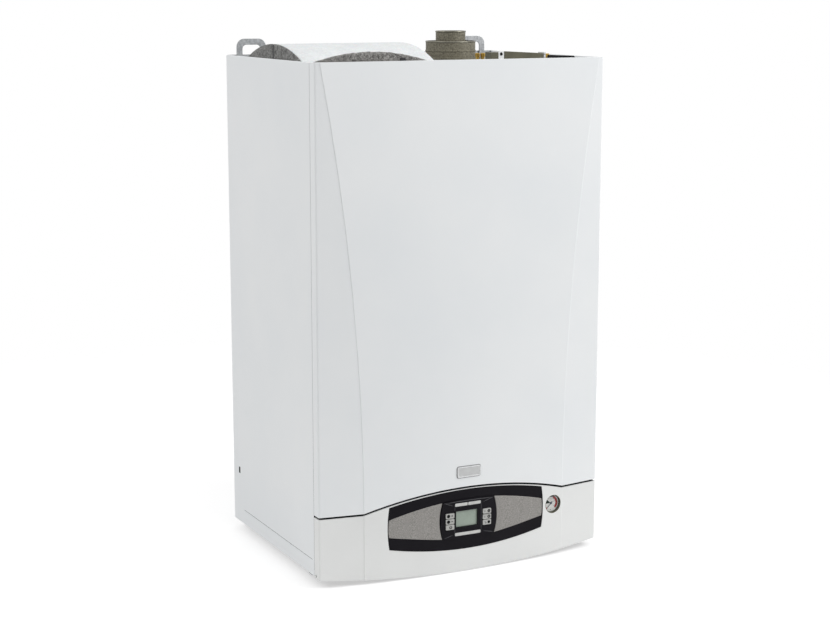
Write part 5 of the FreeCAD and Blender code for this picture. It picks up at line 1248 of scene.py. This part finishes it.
def floor_paper():
    """Pale paper that keeps the object's shadow and thins out to nothing far from the object."""
    paper = coat(
        "paper", (208, 208, 208), (211, 211, 211), blotch=3, grain=500,
        rough=(0.8, 0.9), relief=0.02, depth=0.05,
    )
    away = paper.node("ShaderNodeVectorMath")
    away.operation = "LENGTH"
    open_air = paper.node("ShaderNodeBsdfTransparent")
    thinned = paper.node("ShaderNodeMixShader")
    paper.link(paper.place, away.inputs[0])
    fade = paper.span(away.outputs["Value"], 0.0, 1.0, FLOOR_FADE_START, FLOOR_FADE_END)
    paper.link(fade, thinned.inputs["Fac"])
    paper.link(paper.shader.outputs["BSDF"], thinned.inputs[1])
    paper.link(open_air.outputs["BSDF"], thinned.inputs[2])
    paper.link(thinned.outputs["Shader"], paper.tree.nodes["Material Output"].inputs["Surface"])
    glow = paper.span(shown_share(paper.tree), 0.0, FLOOR_GLOW, 0.0, 1.0)
    paper.shader.inputs["Emission Color"].default_value = linear(*WHITE)
    paper.link(glow, paper.shader.inputs["Emission Strength"])
    return paper.material


floor_level = cad_box[0].z - FLOOR_DROP
floor_edge = [(FLOOR_REACH * x, FLOOR_REACH * y, floor_level) for x, y in circle(FLOOR_SIDES)]
floor_mesh = bpy.data.meshes.new("floor")
floor_mesh.from_pydata(floor_edge, [], [tuple(range(FLOOR_SIDES))])
floor_mesh.materials.append(floor_paper())
floor = bpy.data.objects.new("floor", floor_mesh)
shown.link(floor)

CAMERA_PLACE = (-1.521, -3.2938, 1.075)
CAMERA_YAW = math.radians(26.443)
CAMERA_PITCH = math.radians(10.359)
SENSOR_WIDTH = 36.0
LENS = 75.805
camera_data = bpy.data.cameras.new("camera")
camera_data.sensor_width = SENSOR_WIDTH
camera_data.lens = LENS
camera = bpy.data.objects.new("camera", camera_data)
camera.location = CAMERA_PLACE
level_reach = math.cos(CAMERA_PITCH)
aim = Vector((
    math.sin(CAMERA_YAW) * level_reach, math.cos(CAMERA_YAW) * level_reach, -math.sin(CAMERA_PITCH)
))
camera.rotation_mode = "QUATERNION"
camera.rotation_quaternion = aim.to_track_quat("-Z", "Y")
shown.link(camera)
scene.camera = camera


def soft_lamp(name, place, target, side, power):
    """A square lamp that faces a target."""
    data = bpy.data.lights.new(name, "AREA")
    data.size = side
    data.energy = power
    lamp = bpy.data.objects.new(name, data)
    lamp.location = place
    lamp.rotation_mode = "QUATERNION"
    lamp.rotation_quaternion = (Vector(target) - Vector(place)).to_track_quat("-Z", "Y")
    shown.link(lamp)


soft_lamp("key_light", place=(2.2, -2.1, 2.3), target=(0.2, -0.4, 0.8), side=1.5, power=58.0)
soft_lamp("side_light", place=(-2.6, -0.4, 2.3), target=(-0.3, -0.3, 0.8), side=1.6, power=21.0)

# World: white where it is shown, and a soft light on the object that grows from below to above

AMBIENT_BELOW, AMBIENT_ABOVE = 0.2, 0.8
world = bpy.data.worlds.new("studio")
scene.world = world
world.use_nodes = True
sky = world.node_tree
background = sky.nodes["Background"]
background.inputs["Color"].default_value = linear(*WHITE)
heading = sky.nodes.new("ShaderNodeTexCoord")
aloft = sky.nodes.new("ShaderNodeSeparateXYZ")
ambient = sky.nodes.new("ShaderNodeMapRange")
set_sockets(ambient, {"From_Min": -1.0, "From_Max": 1.0, "To_Min": AMBIENT_BELOW, "To_Max": AMBIENT_ABOVE})
level = sky.nodes.new("ShaderNodeMapRange")
level.inputs["To Max"].default_value = 1.0
sky.links.new(heading.outputs["Generated"], aloft.inputs["Vector"])
sky.links.new(aloft.outputs["Z"], ambient.inputs["Value"])
sky.links.new(ambient.outputs["Result"], level.inputs["To Min"])
sky.links.new(shown_share(sky), level.inputs["Value"])
sky.links.new(level.outputs["Result"], background.inputs["Strength"])

scene.view_settings.view_transform = "Standard"
